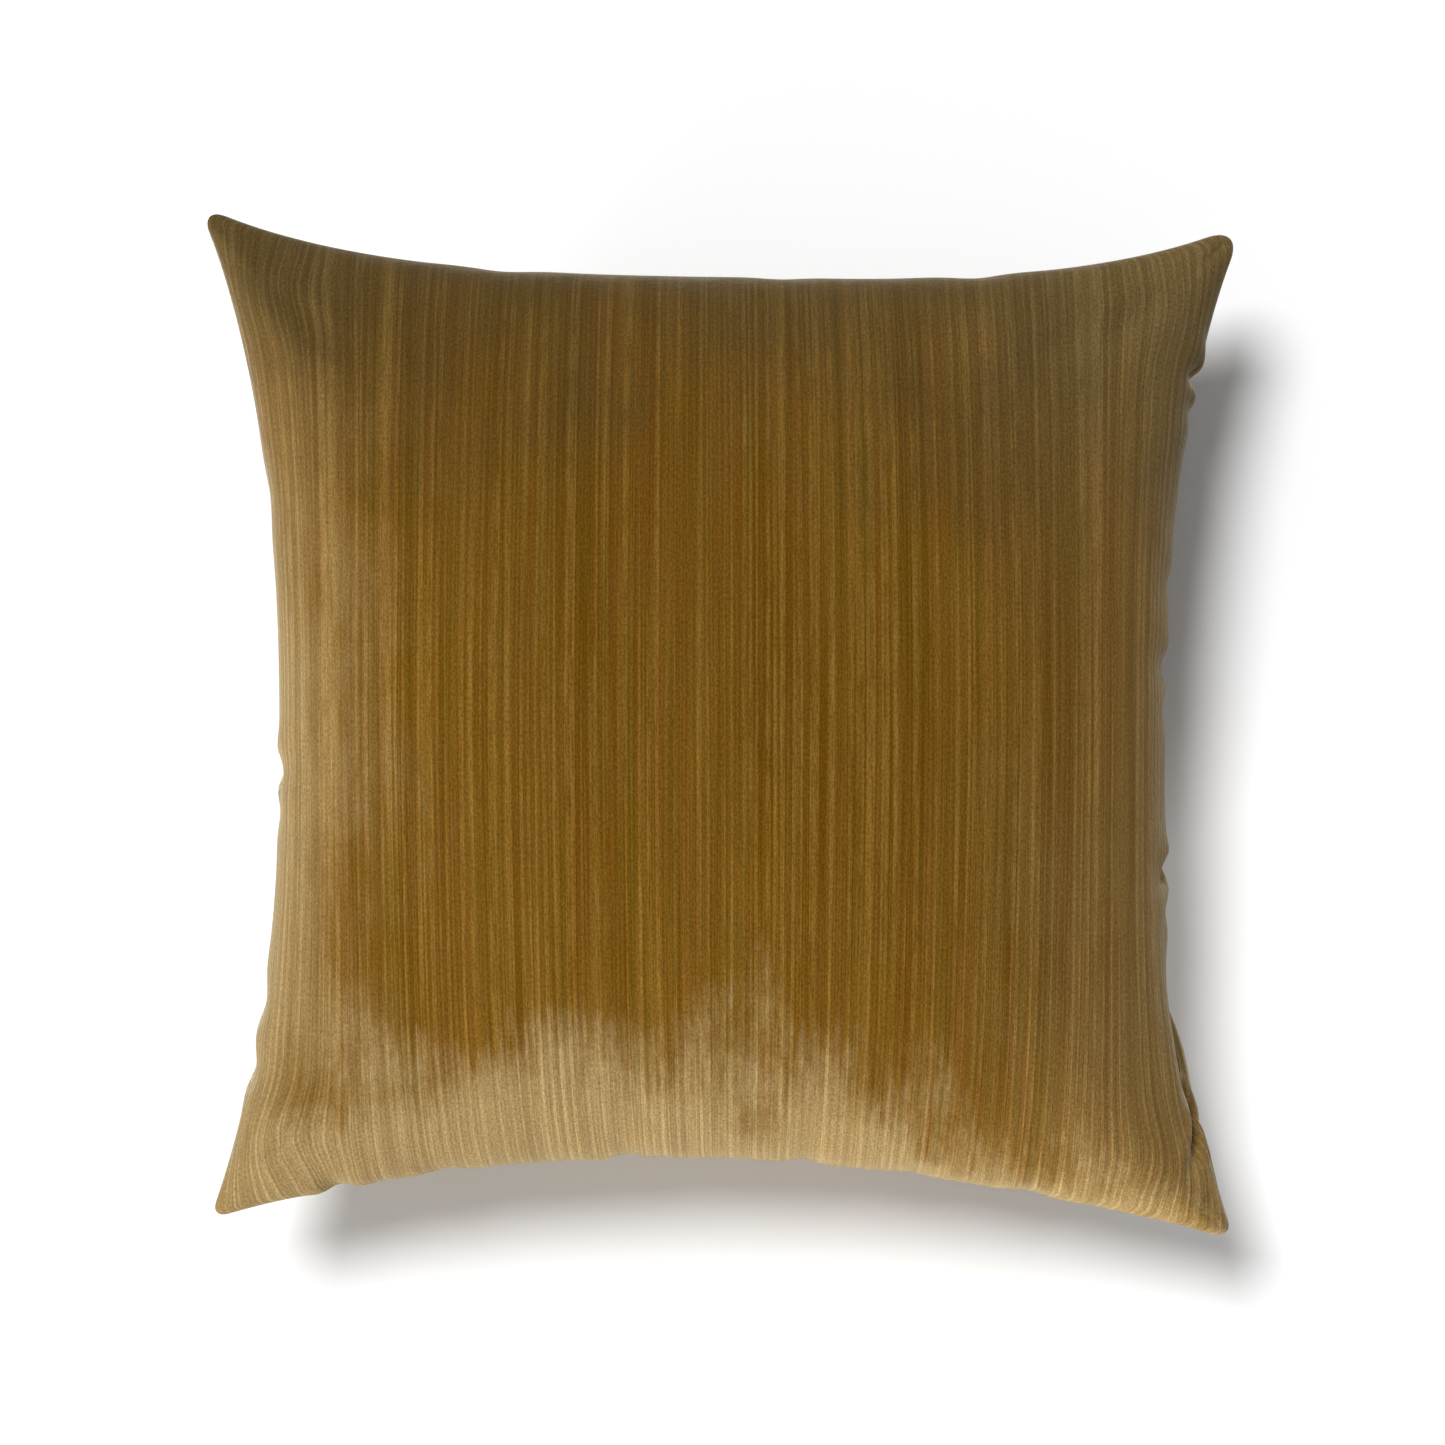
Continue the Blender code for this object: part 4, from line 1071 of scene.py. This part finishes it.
cotton = calico()
casing_share = map_share(CASING_INBOARD)
for half, side in (("front", 1), ("back", -1)):
    points, s, t = inner_form(side, casing_share, CASING_DEPTH, CASING_SEAM, RESTING,
                              CASING_WRINKLE, CASING_WRINKLE_LENGTH)
    count = points.shape[0]
    rim = np.array(border(count))
    rim_cut = np.stack([s[rim[:, 0], rim[:, 1]], t[rim[:, 0], rim[:, 1]]], axis=-1)
    outer = (rim[:, 0] * count + rim[:, 1]).tolist()
    all_points = [points.reshape(-1, 3)]
    all_cuts = [np.stack([s, t], axis=-1).reshape(-1, 2)]
    faces = quads(count, count).tolist()
    for ring, (inboard, rise) in enumerate(CASING_FOLD):
        all_points.append(insert_ring(side, casing_share, inboard, rise))
        grow = 1 + inboard / (CASING_CUT / 2)
        all_cuts.append(rim_cut * grow)
        inner = [count * count + ring * len(rim) + k for k in range(len(rim))]
        following = list(range(1, len(rim))) + [0]
        faces += [(outer[k], inner[k], inner[n], outer[n]) for k, n in enumerate(following)]
        outer = inner
    if side < 0:
        faces = [face[::-1] for face in faces]
    casing = mesh_object("insert_cover_" + half, np.concatenate(all_points), faces)
    mark_cut(casing, (np.concatenate(all_cuts) + 1.1) * CASING_CUT / 2)
    made_thick(casing, CALICO)
    placed(casing, "cover", "insert_casing_" + half, cotton)

white_thread = spun_thread("white_polyester_thread", (0.780, 0.760, 0.710, 1))
ring = insert_ring(1, casing_share, INSERT_SEAM_INBOARD, INSERT_SEAM_RISE)
foot = CASING_CELLS
right = next(k for k in range(foot) if ring[k, 0] > CLOSING_REACH)
left = max(k for k in range(foot) if ring[k, 0] < -CLOSING_REACH)
seam_line = np.concatenate([ring[right:], ring[:left + 1]])
runs = stitches(seam_line, INSERT_STITCH, INSERT_STITCH_GAP, INSERT_DIP)
placed(strand("insert_seam_stitches", runs, THREAD), "cover", "insert_seam_thread",
       white_thread)
gap_line = insert_ring(1, casing_share, CLOSING_INBOARD, INSERT_SEAM_RISE)[left + 1:right]
slant = np.array([0.0, CLOSING_SLANT, 0.0])
runs = [points + np.linspace(-0.5, 0.5, len(points))[:, None] * slant
        for points in stitches(gap_line, CLOSING_STITCH, CLOSING_STITCH_GAP, INSERT_DIP)]
placed(strand("insert_closing_stitches", runs, THREAD), "cover", "insert_closing_stitch",
       white_thread)

filling_share = map_share(FILLING_INBOARD)
grids = [inner_form(side, filling_share, FILLING_DEPTH, 0.0, RESTING + FILLING_CLEAR,
                    FILLING_WRINKLE, FILLING_WRINKLE_LENGTH)[0] for side in (1, -1)]
count = grids[0].shape[0]
faces = np.concatenate([quads(count, count), quads(count, count, count * count)[:, ::-1]])
all_points = np.concatenate([grid.reshape(-1, 3) for grid in grids])
stuffing = mesh_object("insert_stuffing", all_points, faces)
joined = stuffing.modifiers.new("one_mass", "WELD")
joined.merge_threshold = FILLING_JOIN
soft = stuffing.modifiers.new("soft_lumps", "SUBSURF")
soft.levels = soft.render_levels = 1
placed(stuffing, "cover", "insert_filling", hollow_fibre())
